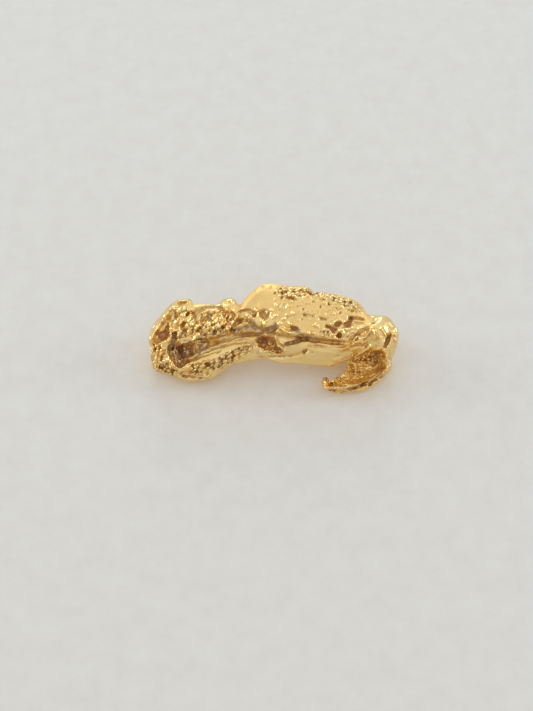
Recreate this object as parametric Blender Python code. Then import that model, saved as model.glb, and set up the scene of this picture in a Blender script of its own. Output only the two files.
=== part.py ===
"""Gold nugget.

One piece of native gold, about 13.6 mm long: a blunt head with a deep furrow
along its front, a waist, a broad slab with a torn lower lip, and a smooth bend
where the bar turns down and back under itself and runs out as a thin hollowed
leaf with two knobs at its tip.

The whole nugget is one closed skin.  It is laid out on its broad face, in
millimetres: `along` runs from the head to the bend, `up` runs up the face and
`out` stands off it.  The skin is carried along numbered rungs.  Each rung is a
straight line from the lower edge to the upper edge; round the bend the rungs
turn on the bend's inner corner, so the leaf is the same skin carried on.  Last,
the face is leaned back by FACE_TILT and the nugget is stood on its worn feet.

Frame: +X from the head to the bend, +Y away from the broad face's front, +Z up,
origin at the middle of the bounding box's base.
"""
from math import radians

import bmesh
import bpy
import numpy as np

# ---- driving sizes, in millimetres where nothing else is said
MM = 0.001                  # metres
FACE_TILT = radians(56.0)   # the way off the broad face rises this far above level
FOOT_WEAR = 0.13            # the feet are worn flat up to this height above the lowest point
NODE = "nugget"
TRIANGLES = 9800            # of the finished solid
RINGS, AROUND = 300, 132    # rings along the skin and points round each ring, before thinning
SNAP = 0.01                 # points nearer to the ground than this lie on it
WELD = 0.002                # points nearer to each other than this are one
GOLD = (0.83, 0.56, 0.19, 1.0)
GOLD_ROUGHNESS = 0.32

# Broad swells left by the metal's growth and by tumbling: size, height, seed.
SWELLS = [(0.95, 0.055, 11), (0.48, 0.035, 12)]

# A feature of the face fades out where the skin turns edge-on to it, between these slopes.
FADE_FROM, FADE_TO = 0.05, 0.40

FRONT_SHARE = [0.55, 0.50, 0.50, 0.50, 0.55, 0.50, 0.80, 0.90, 0.90, 0.60]
BACK_SHARE = [0.80, 1.00, 1.10, 1.00, 0.80]


def closed_end(out):
    """A section shrunk to a point: every line of it stands the same distance off the face."""
    front = [(share / 10, out) for share in range(11)]
    back = [(share, out) for share in (0.9, 0.7, 0.4, 0.1)]
    return front, back


# rung, along, up: the outline that a walk along the top passes, round the bend and out along the leaf
UPPER_EDGE = [
    (0, -6.80, -0.32), (1, -6.85, -0.19), (2, -6.88, 0.11), (3, -6.75, 0.46), (4, -6.55, 0.84),
    (5, -6.24, 1.27), (6, -5.87, 1.74), (6.5, -5.57, 2.01), (7, -5.30, 2.16), (7.5, -5.00, 2.24),
    (8, -4.70, 2.29), (8.35, -4.51, 2.22), (8.65, -4.35, 2.00), (9, -4.05, 1.97), (10, -3.46, 1.96),
    (10.5, -3.16, 1.92), (10.8, -2.96, 2.04), (11.1, -2.82, 2.21), (11.5, -2.49, 2.27), (12, -2.16, 2.23),
    (12.3, -2.01, 2.04), (12.6, -1.86, 1.92), (13, -1.71, 2.08), (13.5, -1.54, 2.32), (14, -1.35, 2.52),
    (14.5, -1.05, 2.80), (15, -0.70, 3.01), (15.5, -0.32, 3.08), (16, 0.16, 3.05), (16.5, 0.54, 2.96),
    (17, 0.92, 2.89), (17.5, 1.41, 2.93), (18, 1.84, 2.90), (18.4, 2.16, 2.69), (19, 2.76, 2.63),
    (19.5, 3.14, 2.56), (20, 3.57, 2.42), (20.5, 3.95, 2.29), (21, 4.27, 2.18), (21.5, 4.59, 1.99),
    (22, 4.86, 1.74), (22.5, 5.05, 1.44), (23, 5.24, 1.34), (24, 5.65, 1.33), (25, 6.08, 1.30),
    (26, 6.43, 1.00), (26.5, 6.65, 0.70), (27, 6.78, 0.38), (27.5, 6.80, 0.05), (28, 6.73, -0.35),
    (29, 6.58, -0.86), (29.4, 6.45, -1.16), (29.7, 6.48, -1.38), (30, 6.41, -1.54), (31, 6.11, -1.89),
    (32, 5.76, -2.29), (33, 5.35, -2.57), (34, 4.86, -2.76), (35, 4.32, -2.81), (35.5, 3.97, -2.89),
    (36, 3.68, -2.94), (37, 3.19, -2.82), (38, 2.84, -2.74), (39, 2.65, -2.62), (40, 2.59, -2.49),
]

# rung, along, up: the outline of the underside, turning on the inner corner of the bend
LOWER_EDGE = [
    (0, -6.78, -0.38), (1, -6.75, -0.51), (2, -6.70, -0.76), (3, -6.70, -1.14), (4, -6.65, -1.46),
    (5, -6.38, -1.72), (6, -5.86, -1.85), (7, -5.35, -2.03), (7.5, -5.03, -2.16), (8, -4.70, -2.25),
    (9, -4.05, -2.24), (10, -3.54, -2.18), (10.5, -3.24, -2.03), (11, -2.92, -1.79), (11.5, -2.65, -1.63),
    (12, -2.38, -1.41), (13, -1.78, -1.22), (14, -1.14, -1.14), (15, -0.49, -0.99), (16, 0.27, -1.21),
    (17, 1.03, -1.26), (18, 1.78, -1.35), (19, 2.49, -1.39), (19.5, 2.86, -1.43), (20, 3.14, -1.44),
    (21, 3.51, -1.30), (22, 3.86, -1.14), (23, 4.08, -1.06), (24, 4.16, -1.05), (27, 4.16, -1.05),
    (28, 4.14, -1.08), (29, 4.11, -1.11), (30, 4.05, -1.16), (31, 3.99, -1.38), (32, 3.91, -1.59),
    (33, 3.81, -1.80), (34, 3.65, -1.95), (35, 3.46, -2.00), (36, 3.24, -2.19), (37, 3.05, -2.24),
    (38, 2.89, -2.09), (39, 2.70, -2.09), (40, 2.57, -2.30),
]

LAST_RUNG = 40

# rung, name, then (share of the rung from the lower edge, out): first eleven lines up the front -
# lower edge, foot, lower face, lip, furrow floor, recess, torn edge, face low, face high, shoulder,
# upper edge - and then four down the back
SECTIONS = [
    (0, "left tip", *closed_end(-0.95)),
    (1, "left knob",
     [(0.00, -0.98), (0.08, -0.90), (0.17, -0.84), (0.25, -0.80), (0.35, -0.78), (0.45, -0.76),
      (0.55, -0.75), (0.67, -0.76), (0.78, -0.80), (0.92, -0.86), (1.00, -0.95)],
     [(0.95, -1.07), (0.72, -1.18), (0.40, -1.20), (0.10, -1.10)]),
    (2, "left knob, back",
     [(0.00, -1.00), (0.09, -0.80), (0.19, -0.68), (0.28, -0.62), (0.38, -0.60), (0.47, -0.56),
      (0.56, -0.50), (0.69, -0.46), (0.81, -0.50), (0.92, -0.62), (1.00, -0.85)],
     [(0.95, -1.15), (0.72, -1.42), (0.40, -1.50), (0.10, -1.28)]),
    (3, "end face, top",
     [(0.00, -1.05), (0.08, -0.74), (0.19, -0.56), (0.29, -0.48), (0.39, -0.44), (0.49, -0.40),
      (0.59, -0.33), (0.71, -0.32), (0.83, -0.40), (0.93, -0.55), (1.00, -0.85)],
     [(0.96, -1.30), (0.75, -1.85), (0.40, -2.10), (0.10, -1.60)]),
    (4, "end face",
     [(0.00, -1.10), (0.09, -0.72), (0.20, -0.48), (0.31, -0.38), (0.40, -0.34), (0.49, -0.30),
      (0.59, -0.20), (0.71, -0.20), (0.84, -0.32), (0.94, -0.50), (1.00, -0.85)],
     [(0.97, -1.40), (0.75, -2.15), (0.42, -2.42), (0.08, -1.70)]),
    (6, "end pit",
     [(0.00, -1.05), (0.07, -0.60), (0.15, -0.30), (0.25, -0.18), (0.34, -0.14), (0.41, -0.10),
      (0.49, 0.04), (0.62, 0.06), (0.79, -0.12), (0.92, -0.35), (1.00, -0.75)],
     [(0.97, -1.50), (0.72, -2.55), (0.44, -2.82), (0.08, -1.80)]),
    (6.7, "furrow end",
     [(0.00, -1.00), (0.06, -0.52), (0.14, -0.25), (0.22, -0.20), (0.31, -0.38), (0.40, -0.45),
      (0.47, 0.10), (0.59, 0.12), (0.75, -0.05), (0.91, -0.30), (1.00, -0.68)],
     [(0.95, -1.60), (0.70, -2.65), (0.43, -2.86), (0.08, -1.80)]),
    (7.3, "furrow, left",
     [(0.00, -0.95), (0.05, -0.50), (0.09, -0.28), (0.14, -0.16), (0.24, -0.66), (0.37, -0.95),
      (0.45, 0.14), (0.59, 0.18), (0.75, 0.05), (0.91, -0.22), (1.00, -0.62)],
     [(0.92, -1.60), (0.67, -2.70), (0.42, -2.84), (0.08, -1.80)]),
    (8, "furrow, deepest",
     [(0.00, -0.90), (0.07, -0.42), (0.12, -0.26), (0.18, -0.14), (0.26, -0.56), (0.38, -0.92),
      (0.46, 0.15), (0.58, 0.22), (0.73, 0.10), (0.90, -0.18), (1.00, -0.60)],
     [(0.92, -1.65), (0.66, -2.72), (0.42, -2.84), (0.08, -1.75)]),
    (9, "head, middle",
     [(0.00, -0.90), (0.07, -0.46), (0.15, -0.28), (0.24, -0.14), (0.34, -0.42), (0.46, -0.74),
      (0.55, 0.16), (0.65, 0.22), (0.80, 0.05), (0.94, -0.10), (1.00, -0.55)],
     [(0.92, -1.60), (0.66, -2.65), (0.42, -2.80), (0.08, -1.72)]),
    (10, "head, right",
     [(0.00, -0.92), (0.08, -0.52), (0.16, -0.32), (0.26, -0.16), (0.37, -0.32), (0.49, -0.54),
      (0.59, 0.12), (0.68, 0.16), (0.84, -0.05), (0.94, -0.12), (1.00, -0.58)],
     [(0.92, -1.55), (0.66, -2.45), (0.38, -2.55), (0.07, -1.65)]),
    (11, "neck",
     [(0.00, -0.92), (0.06, -0.56), (0.13, -0.36), (0.24, -0.18), (0.36, -0.30), (0.47, -0.44),
      (0.56, 0.08), (0.66, 0.12), (0.81, -0.05), (0.92, -0.15), (1.00, -0.55)],
     [(0.93, -1.40), (0.69, -2.10), (0.36, -2.15), (0.08, -1.52)]),
    (12, "neck, waist",
     [(0.00, -0.92), (0.05, -0.58), (0.12, -0.38), (0.23, -0.20), (0.33, -0.28), (0.44, -0.38),
      (0.54, 0.08), (0.64, 0.14), (0.80, 0.00), (0.91, -0.12), (1.00, -0.55)],
     [(0.94, -1.25), (0.72, -1.90), (0.40, -2.00), (0.10, -1.46)]),
    (14, "notch",
     [(0.00, -0.88), (0.05, -0.56), (0.11, -0.38), (0.20, -0.26), (0.30, -0.30), (0.40, -0.36),
      (0.52, 0.08), (0.64, 0.12), (0.77, -0.02), (0.92, -0.24), (1.00, -0.65)],
     [(0.96, -1.25), (0.74, -1.85), (0.42, -1.95), (0.10, -1.40)]),
    (15, "slab, left",
     [(0.00, -0.85), (0.04, -0.52), (0.08, -0.34), (0.13, -0.30), (0.23, -0.38), (0.33, -0.28),
      (0.42, 0.20), (0.57, 0.22), (0.75, 0.04), (0.92, -0.26), (1.00, -0.66)],
     [(0.97, -1.28), (0.74, -1.90), (0.42, -1.98), (0.10, -1.40)]),
    (16, "slab, lobe",
     [(0.00, -0.80), (0.06, -0.50), (0.12, -0.34), (0.19, -0.22), (0.27, -0.20), (0.33, -0.14),
      (0.39, 0.30), (0.55, 0.28), (0.74, 0.10), (0.91, -0.24), (1.00, -0.68)],
     [(0.98, -1.30), (0.74, -1.95), (0.40, -2.00), (0.12, -1.40)]),
    (18, "slab, overhang",
     [(0.00, -0.78), (0.07, -0.46), (0.14, -0.30), (0.22, -0.18), (0.29, -0.22), (0.34, -0.26),
      (0.38, 0.38), (0.56, 0.34), (0.76, 0.14), (0.92, -0.18), (1.00, -0.66)],
     [(0.98, -1.40), (0.74, -2.15), (0.40, -2.20), (0.12, -1.40)]),
    (20, "slab, pits",
     [(0.00, -0.75), (0.07, -0.44), (0.15, -0.24), (0.23, -0.06), (0.30, -0.02), (0.34, -0.06),
      (0.38, 0.38), (0.55, 0.34), (0.77, 0.14), (0.93, -0.16), (1.00, -0.62)],
     [(0.98, -1.40), (0.74, -2.40), (0.42, -2.65), (0.12, -1.60)]),
    (22, "slab, right",
     [(0.00, -0.85), (0.07, -0.55), (0.14, -0.30), (0.21, -0.10), (0.27, 0.02), (0.33, 0.06), (0.38, 0.32),
      (0.56, 0.30), (0.75, 0.14), (0.93, -0.12), (1.00, -0.58)],
     [(0.97, -1.40), (0.74, -2.50), (0.46, -3.00), (0.14, -1.95)]),
    (24, "bend, top",
     [(0.00, -1.05), (0.09, -0.70), (0.18, -0.40), (0.26, -0.16), (0.33, -0.02), (0.40, 0.08),
      (0.47, 0.22), (0.58, 0.16), (0.72, 0.02), (0.87, -0.24), (1.00, -0.65)],
     [(0.96, -1.40), (0.74, -2.50), (0.48, -3.15), (0.16, -2.30)]),
    (26, "bend, shoulder",
     [(0.00, -1.08), (0.11, -0.80), (0.22, -0.52), (0.32, -0.30), (0.41, -0.14), (0.49, -0.02),
      (0.57, 0.06), (0.67, 0.06), (0.78, -0.06), (0.90, -0.30), (1.00, -0.70)],
     [(0.96, -1.40), (0.74, -2.35), (0.48, -3.10), (0.18, -2.40)]),
    (27, "bend, side",
     [(0.00, -1.13), (0.11, -0.88), (0.22, -0.64), (0.33, -0.45), (0.43, -0.30), (0.52, -0.18),
      (0.61, -0.10), (0.70, -0.08), (0.80, -0.18), (0.91, -0.45), (1.00, -0.86)],
     [(0.96, -1.50), (0.74, -2.25), (0.46, -2.85), (0.18, -2.40)]),
    (27.6, "bend, over the hollow",
     [(0.00, -1.35), (0.11, -1.45), (0.22, -1.47), (0.32, -1.36), (0.40, -1.04), (0.46, -0.52),
      (0.53, -0.20), (0.66, -0.12), (0.79, -0.20), (0.91, -0.48), (1.00, -0.88)],
     [(0.96, -1.50), (0.74, -2.20), (0.46, -2.72), (0.18, -2.40)]),
    (28.2, "bend, foot",
     [(0.00, -1.38), (0.12, -1.50), (0.24, -1.54), (0.36, -1.50), (0.47, -1.38), (0.57, -1.12),
      (0.65, -0.58), (0.72, -0.30), (0.82, -0.32), (0.92, -0.60), (1.00, -1.00)],
     [(0.96, -1.55), (0.74, -2.16), (0.46, -2.54), (0.18, -2.30)]),
    (29, "leaf, root",
     [(0.00, -1.40), (0.12, -1.52), (0.24, -1.57), (0.36, -1.56), (0.48, -1.50), (0.60, -1.34),
      (0.71, -0.88), (0.79, -0.48), (0.86, -0.48), (0.94, -0.74), (1.00, -1.08)],
     [(0.96, -1.60), (0.74, -2.12), (0.46, -2.36), (0.18, -2.20)]),
    (31, "leaf, widest",
     [(0.00, -1.35), (0.14, -1.52), (0.30, -1.57), (0.46, -1.52), (0.62, -1.36), (0.75, -0.98),
      (0.84, -0.38), (0.89, -0.34), (0.93, -0.52), (0.97, -0.80), (1.00, -1.13)],
     [(0.94, -1.51), (0.74, -1.86), (0.44, -1.94), (0.16, -1.73)]),
    (33, "leaf, middle",
     [(0.00, -1.24), (0.10, -1.32), (0.22, -1.33), (0.34, -1.27), (0.46, -1.08), (0.55, -0.72),
      (0.62, -0.34), (0.70, -0.36), (0.82, -0.52), (0.93, -0.70), (1.00, -0.95)],
     [(0.95, -1.24), (0.74, -1.52), (0.44, -1.62), (0.16, -1.52)]),
    (35, "leaf, narrowing",
     [(0.00, -1.05), (0.08, -1.08), (0.17, -1.08), (0.26, -1.00), (0.35, -0.82), (0.43, -0.52),
      (0.50, -0.30), (0.60, -0.36), (0.74, -0.48), (0.89, -0.62), (1.00, -0.82)],
     [(0.96, -1.06), (0.74, -1.26), (0.44, -1.32), (0.14, -1.26)]),
    (37, "leaf, neck",
     [(0.00, -0.88), (0.06, -0.82), (0.13, -0.76), (0.20, -0.68), (0.27, -0.56), (0.33, -0.42),
      (0.39, -0.32), (0.54, -0.30), (0.72, -0.38), (0.88, -0.52), (1.00, -0.72)],
     [(0.94, -0.92), (0.72, -1.06), (0.42, -1.10), (0.12, -1.03)]),
    (39, "leaf, knob",
     [(0.00, -0.72), (0.08, -0.60), (0.16, -0.52), (0.24, -0.46), (0.32, -0.42), (0.39, -0.40),
      (0.46, -0.38), (0.60, -0.38), (0.76, -0.42), (0.90, -0.52), (1.00, -0.66)],
     [(0.92, -0.81), (0.70, -0.92), (0.42, -0.95), (0.12, -0.89)]),
    (40, "leaf tip", *closed_end(-0.67)),
]

# name, height (below 0 is a crease), width, path of (along, up)
RIDGES = [
    ("end rim", 0.16, 0.11, [(-6.68, 0.05), (-6.54, 0.32), (-6.32, 0.68), (-6.05, 1.05), (-5.73, 1.54),
     (-5.41, 1.92), (-5.03, 2.16)]),
    ("rim crease", -0.12, 0.10, [(-6.49, -0.05), (-6.32, 0.27), (-6.11, 0.54), (-5.84, 0.86),
     (-5.62, 1.16), (-5.30, 1.32)]),
    ("rib", 0.14, 0.13, [(-5.70, 1.03), (-5.59, 0.54), (-5.51, 0.11), (-5.65, -0.22), (-5.78, -0.59),
     (-5.73, -1.03)]),
    ("furrow end", -0.20, 0.11, [(-5.35, 0.38), (-5.46, -0.05), (-5.62, -0.41), (-5.57, -0.81),
     (-5.35, -1.14), (-5.08, -1.41)]),
    ("knob crease", -0.22, 0.09, [(-6.65, -0.35), (-6.49, -0.19), (-6.22, -0.05)]),
    ("curl crease", -0.14, 0.07, [(-5.24, 1.96), (-5.03, 2.03), (-4.73, 2.05)]),
    ("hollow brow", -0.20, 0.12, [(-4.38, 1.43), (-4.05, 1.63), (-3.68, 1.74), (-3.35, 1.79),
     (-2.97, 1.76)]),
    ("hollow right", -0.12, 0.12, [(-2.92, 1.70), (-2.76, 1.46), (-2.54, 1.24), (-2.38, 1.08)]),
    ("shoulder fold", 0.18, 0.13, [(-2.76, 1.81), (-2.49, 1.57), (-2.16, 1.51), (-1.97, 1.27),
     (-2.16, 1.03), (-2.43, 0.70), (-2.49, 0.49)]),
    ("upper crease", -0.14, 0.10, [(-2.30, 0.43), (-2.16, 0.76), (-1.89, 1.00), (-1.51, 1.08)]),
    ("red crease", -0.18, 0.10, [(-2.27, 0.51), (-1.84, 0.59), (-1.41, 0.70)]),
    ("notch arm", -0.26, 0.12, [(-1.30, 1.00), (-1.14, 0.76), (-0.92, 0.59), (-0.65, 0.57)]),
    ("drip", 0.18, 0.10, [(-0.58, 1.14), (-0.56, 0.54)]),
    ("shelf crease", -0.16, 0.09, [(-2.22, 0.19), (-1.78, 0.28), (-1.24, 0.32), (-0.76, 0.31)]),
    ("lobe rim", 0.16, 0.11, [(0.07, 0.11), (0.14, -0.16), (0.32, -0.38), (0.54, -0.57)]),
    ("belly crease", -0.12, 0.09, [(-0.22, -0.91), (0.32, -0.89), (0.86, -0.86), (1.30, -0.77),
     (1.62, -0.65), (1.78, -0.54)]),
    ("slab lip", 0.07, 0.11, [(0.27, 0.73), (0.59, 0.44), (0.92, 0.38), (1.41, 0.46), (1.84, 0.38),
     (2.38, 0.22), (2.92, 0.08), (3.41, -0.03)]),
    ("under lip", -0.16, 0.09, [(1.24, 0.00), (1.73, 0.03), (2.05, 0.03), (2.38, -0.03), (2.81, -0.10),
     (3.46, -0.14)]),
    ("right crease", -0.14, 0.08, [(4.16, -0.37), (4.54, -0.31), (4.97, -0.22)]),
    ("right ridge", 0.12, 0.11, [(3.62, -0.50), (3.95, -0.41), (4.27, -0.24), (4.76, -0.11)]),
    ("crack", -0.14, 0.08, [(4.11, 1.19), (4.49, 1.17), (4.76, 1.14)]),
    ("bend rib a", 0.08, 0.12, [(4.76, 0.05), (4.97, 0.27), (5.19, 0.54)]),
    ("bend crease a", -0.12, 0.08, [(4.11, -0.05), (4.32, 0.22), (4.65, 0.46), (5.08, 0.65)]),
    ("foot groove", -0.16, 0.08, [(-4.92, -1.97), (-4.54, -2.02), (-4.00, -2.04)]),
    ("foot hollow", -0.14, 0.14, [(-4.97, -1.78), (-4.65, -1.70), (-4.16, -1.76), (-3.68, -1.78)]),
    ("leaf streak a", -0.20, 0.09, [(4.11, -2.70), (4.43, -2.63), (4.76, -2.49), (5.03, -2.30)]),
    ("leaf streak b", -0.22, 0.10, [(5.19, -2.43), (5.35, -2.24), (5.62, -2.09), (5.89, -1.97)]),
    ("leaf streak c", -0.16, 0.07, [(5.14, -2.11), (5.46, -2.00), (5.78, -1.83)]),
    ("leaf low seam", -0.12, 0.07, [(3.03, -2.70), (3.35, -2.80), (3.68, -2.84), (3.95, -2.82)]),
    ("leaf rim", 0.12, 0.10, [(3.08, -2.56), (3.57, -2.55), (4.05, -2.45), (4.65, -2.22), (5.19, -2.03),
     (5.68, -1.78), (6.11, -1.58)]),
]

# name, along, up, long radius, short radius, turn in degrees, depth
PITS = [
    ("end pit", -5.99, 0.24, 0.28, 0.22, 38, 0.44),
    ("end pit top", -5.80, 0.62, 0.21, 0.10, 66, 0.26),
    ("hollow", -3.62, 1.35, 0.76, 0.35, 10, 0.16),
    ("furrow pit", -4.86, -0.59, 0.49, 0.30, 12, 0.22),
    ("middle pit", -0.16, 0.56, 0.34, 0.16, 22, 0.40),
    ("notch pit", -0.54, 1.39, 0.25, 0.24, 0, 0.26),
    ("red recess", -0.43, -0.16, 0.49, 0.30, -15, 0.40),
    ("red recess low", 0.14, -0.54, 0.35, 0.15, -15, 0.24),
    ("lip pit", 1.08, 0.61, 0.23, 0.12, -12, 0.28),
    ("overhang", 1.57, 0.15, 0.27, 0.16, -8, 0.32),
    ("wedge", 0.97, -0.16, 0.41, 0.10, 12, 0.24),
    ("plate pit a", 3.26, 0.51, 0.14, 0.16, 20, 0.22),
    ("plate pit a left", 2.97, 0.69, 0.17, 0.08, -20, 0.16),
    ("plate pit b", 3.43, 0.85, 0.19, 0.13, 25, 0.22),
    ("plate pit c", 3.94, 0.81, 0.21, 0.14, 12, 0.26),
    ("plate pit d", 4.11, 1.09, 0.16, 0.12, 70, 0.22),
    ("bend pit", 6.14, -0.08, 0.36, 0.11, 68, 0.34),
    ("bottom pit", -6.00, -1.48, 0.26, 0.12, -12, 0.24),
    ("tip valley", 3.02, -2.42, 0.18, 0.09, 0, 0.22),
]

# along, up, long radius, short radius, turn in degrees, height
BEADS = [
    (-4.70, 2.12, 0.14, 0.12, 15, 0.16), (-2.58, 1.66, 0.21, 0.11, -40, 0.18),
    (-2.01, 1.22, 0.22, 0.11, 50, 0.18), (-1.03, 1.63, 0.17, 0.12, -40, 0.16),
    (-2.41, 0.57, 0.15, 0.09, 45, 0.14), (-0.42, 1.46, 0.10, 0.13, 0, 0.16),
    (0.59, 0.47, 0.30, 0.10, -32, 0.14), (1.92, 0.38, 0.10, 0.16, 0, 0.13),
    (2.11, 0.35, 0.08, 0.16, 0, 0.13), (2.62, 0.25, 0.13, 0.13, 20, 0.14),
    (3.32, 0.09, 0.21, 0.13, -45, 0.18), (2.27, 0.79, 0.15, 0.13, 10, 0.10),
    (4.22, -0.24, 0.14, 0.12, 20, 0.16), (5.95, -1.70, 0.23, 0.11, 32, 0.18),
    (2.77, -2.24, 0.17, 0.15, 0, 0.22), (2.81, -2.63, 0.16, 0.12, 0, 0.18),
    (4.78, 1.21, 0.11, 0.10, 0, 0.13), (-0.89, -0.18, 0.10, 0.12, 0, 0.14),
    (-5.03, 0.81, 0.10, 0.28, -12, 0.11), (-2.43, 2.11, 0.32, 0.16, 0, 0.08),
    (6.64, 0.32, 0.11, 0.11, 0, 0.09), (6.66, 0.00, 0.10, 0.13, 0, 0.09),
    (0.14, -0.14, 0.09, 0.17, 15, 0.12), (-5.57, 0.32, 0.08, 0.24, 10, 0.10),
]

# the same, on the back
BACK_RIDGES = [
    ("back fold", -0.16, 0.22, [(-4.81, 1.51), (-3.19, 1.19), (-1.30, 1.84), (0.86, 1.95), (3.03, 1.73)]),
    ("back ridge", 0.14, 0.22, [(-5.08, 0.76), (-3.46, 0.43), (-1.57, 1.08), (0.86, 1.19), (3.30, 0.97)]),
    ("heel crease", -0.14, 0.16, [(5.08, 1.08), (5.51, 0.54), (5.62, -0.11), (5.30, -0.65)]),
    ("cross fold", -0.12, 0.16, [(1.41, 2.70), (1.73, 1.89), (1.41, 0.81), (1.95, 0.00)]),
]

BACK_PITS = [
    ("back pit a", -4.00, -0.27, 0.43, 0.27, 20, 0.28),
    ("back pit b", -0.32, 0.27, 0.32, 0.22, -30, 0.24),
    ("back pit c", 2.49, 2.16, 0.38, 0.22, 10, 0.24),
    ("back pit d", 3.84, 0.27, 0.27, 0.19, 50, 0.20),
    ("back pit e", -2.27, 0.97, 0.22, 0.16, 0, 0.20),
]


def smooth_curve(knots, values, at):
    """Cubic through the values at the knots, read at `at`; the slope at a knot is the
    mean of its two neighbours' slopes, each weighted by the other's length."""
    knots, values, at = (np.asarray(item, float) for item in (knots, values, at))
    spread = (-1,) + (1,) * (values.ndim - 1)
    gaps = np.diff(knots)
    slopes = np.diff(values, axis=0) / gaps.reshape(spread)
    weight = (gaps[1:] / (gaps[1:] + gaps[:-1])).reshape(spread)
    tangents = np.concatenate([slopes[:1], slopes[:-1] * weight + slopes[1:] * (1 - weight), slopes[-1:]])
    span = np.clip(np.searchsorted(knots, at, side="right") - 1, 0, len(gaps) - 1)
    gap = gaps[span].reshape(spread)
    t = ((at - knots[span]) / gaps[span]).reshape(spread)
    return ((2 * t**3 - 3 * t**2 + 1) * values[span] + (t**3 - 2 * t**2 + t) * gap * tangents[span]
            + (3 * t**2 - 2 * t**3) * values[span + 1] + (t**3 - t**2) * gap * tangents[span + 1])


def ramp(low, high, value):
    """0 below low, 1 above high, and a smooth rise between them."""
    t = np.clip((value - low) / (high - low), 0, 1)
    return t * t * (3 - 2 * t)


def plain_skin(rings, around):
    """The loft alone: an array of rings x around x (along, up, out), and each ring's rung."""
    upper, lower = np.array(UPPER_EDGE), np.array(LOWER_EDGE)
    fine = np.linspace(0, LAST_RUNG, 4001)
    walk = np.zeros(len(fine) - 1)
    for edge, weight in ((upper, 0.6), (lower, 0.4)):
        points = smooth_curve(edge[:, 0], edge[:, 1:], fine)
        walk += weight * np.hypot(*np.diff(points, axis=0).T)
    walked = np.concatenate([[0], np.cumsum(walk)])
    rungs = np.interp(np.linspace(0, walked[-1], rings), walked, fine)

    top = smooth_curve(upper[:, 0], upper[:, 1:], rungs)[:, None]
    bottom = smooth_curve(lower[:, 0], lower[:, 1:], rungs)[:, None]
    lines = np.array([front + back for _, _, front, back in SECTIONS])
    lines = smooth_curve([section[0] for section in SECTIONS], lines, rungs)
    cage = np.concatenate([bottom + (top - bottom) * lines[..., :1], lines[..., 1:]], axis=2)

    share = np.concatenate([[0], np.cumsum(FRONT_SHARE + BACK_SHARE)])
    stations = np.interp(np.arange(around) / around * share[-1], share, np.arange(len(share)))
    wrapped = np.concatenate([cage[:, -2:], cage, cage[:, :3]], axis=1).transpose(1, 0, 2)
    skin = smooth_curve(np.arange(len(wrapped)) - 2, wrapped, stations)
    return skin.transpose(1, 0, 2), rungs


def outward(skin):
    """Unit normals of a grid of rings: the cross product of the two ways along the grid."""
    along = np.gradient(skin, axis=0)
    across = np.roll(skin, -1, axis=1) - np.roll(skin, 1, axis=1)
    normal = np.cross(along, across)
    return normal / (np.linalg.norm(normal, axis=2, keepdims=True) + 1e-12)


def ridge(along, up, height, width, path):
    """A raised line, or a crease where height is below 0: a bell curve of the distance to the path."""
    nearest = np.full(along.shape, np.inf)
    for (x0, y0), (x1, y1) in zip(path[:-1], path[1:]):
        dx, dy = x1 - x0, y1 - y0
        t = np.clip(((along - x0) * dx + (up - y0) * dy) / (dx * dx + dy * dy), 0, 1)
        nearest = np.minimum(nearest, (along - x0 - t * dx)**2 + (up - y0 - t * dy)**2)
    return height * np.exp(-nearest / width**2)


def oval(along, up, x, y, long_radius, short_radius, turn):
    """Distance from an oval's middle, counted in its own radii; turn is in degrees."""
    east, north = along - x, up - y
    cosine, sine = np.cos(radians(turn)), np.sin(radians(turn))
    return np.hypot((east * cosine + north * sine) / long_radius,
                    (north * cosine - east * sine) / short_radius)


def relief(along, up, ridges, pits, beads=()):
    """Height of one side's features over its loft: ridges, flat-floored pits and half-round beads."""
    height = np.zeros_like(along)
    for _, rise, width, path in ridges:
        height += ridge(along, up, rise, width, path)
    for _, x, y, long_radius, short_radius, turn, depth in pits:
        height -= depth * np.exp(-(0.95 * oval(along, up, x, y, long_radius, short_radius, turn))**4)
    for x, y, long_radius, short_radius, turn, rise in beads:
        distance = oval(along, up, x, y, long_radius, short_radius, turn)
        height += rise * np.sqrt(np.clip(1 - distance**2, 0, 1))
    return height


def swell(points, size, seed):
    """Smooth noise from -1 to 1: seeded values on a cubic lattice, blended between its corners."""
    repeat = 17
    values = np.random.default_rng(seed).random((repeat, repeat, repeat, 3))[..., 0] * 2 - 1
    place = points / size
    corner = np.floor(place).astype(int)
    blend = ramp(0, 1, place - corner)
    total = np.zeros(points.shape[:-1])
    for step in np.ndindex(2, 2, 2):
        weight = np.prod(np.where(step, blend, 1 - blend), axis=-1)
        i, j, k = np.moveaxis((corner + step) % repeat, -1, 0)
        total += weight * values[i, j, k]
    return total


def nugget_skin(rings, around):
    """The loft with its features, leaned back and stood on its worn feet; x, y, z in millimetres."""
    skin, rungs = plain_skin(rings, around)
    normal = outward(skin)
    along, up = skin[..., 0], skin[..., 1]
    ends = (ramp(0, 1.2, rungs) * ramp(0, 0.8, LAST_RUNG - rungs))[:, None]
    front = ramp(FADE_FROM, FADE_TO, normal[..., 2]) * relief(along, up, RIDGES, PITS, BEADS)
    back = ramp(FADE_FROM, FADE_TO, -normal[..., 2]) * relief(along, up, BACK_RIDGES, BACK_PITS)
    rough = sum(height * swell(skin, size, seed) for size, height, seed in SWELLS)
    skin = skin + normal * (rough * ends)[..., None]
    skin[..., 2] += (front - back) * ends

    sine, cosine = np.sin(FACE_TILT), np.cos(FACE_TILT)
    along, up, out = np.moveaxis(skin, -1, 0)
    stood = np.stack([along, up * sine - out * cosine, up * cosine + out * sine], axis=-1)
    stood[..., 2] = np.maximum(stood[..., 2] - stood[..., 2].min() - FOOT_WEAR, 0)
    low, high = stood.min(axis=(0, 1)), stood.max(axis=(0, 1))
    stood[..., :2] -= (low[:2] + high[:2]) / 2
    return stood


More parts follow.
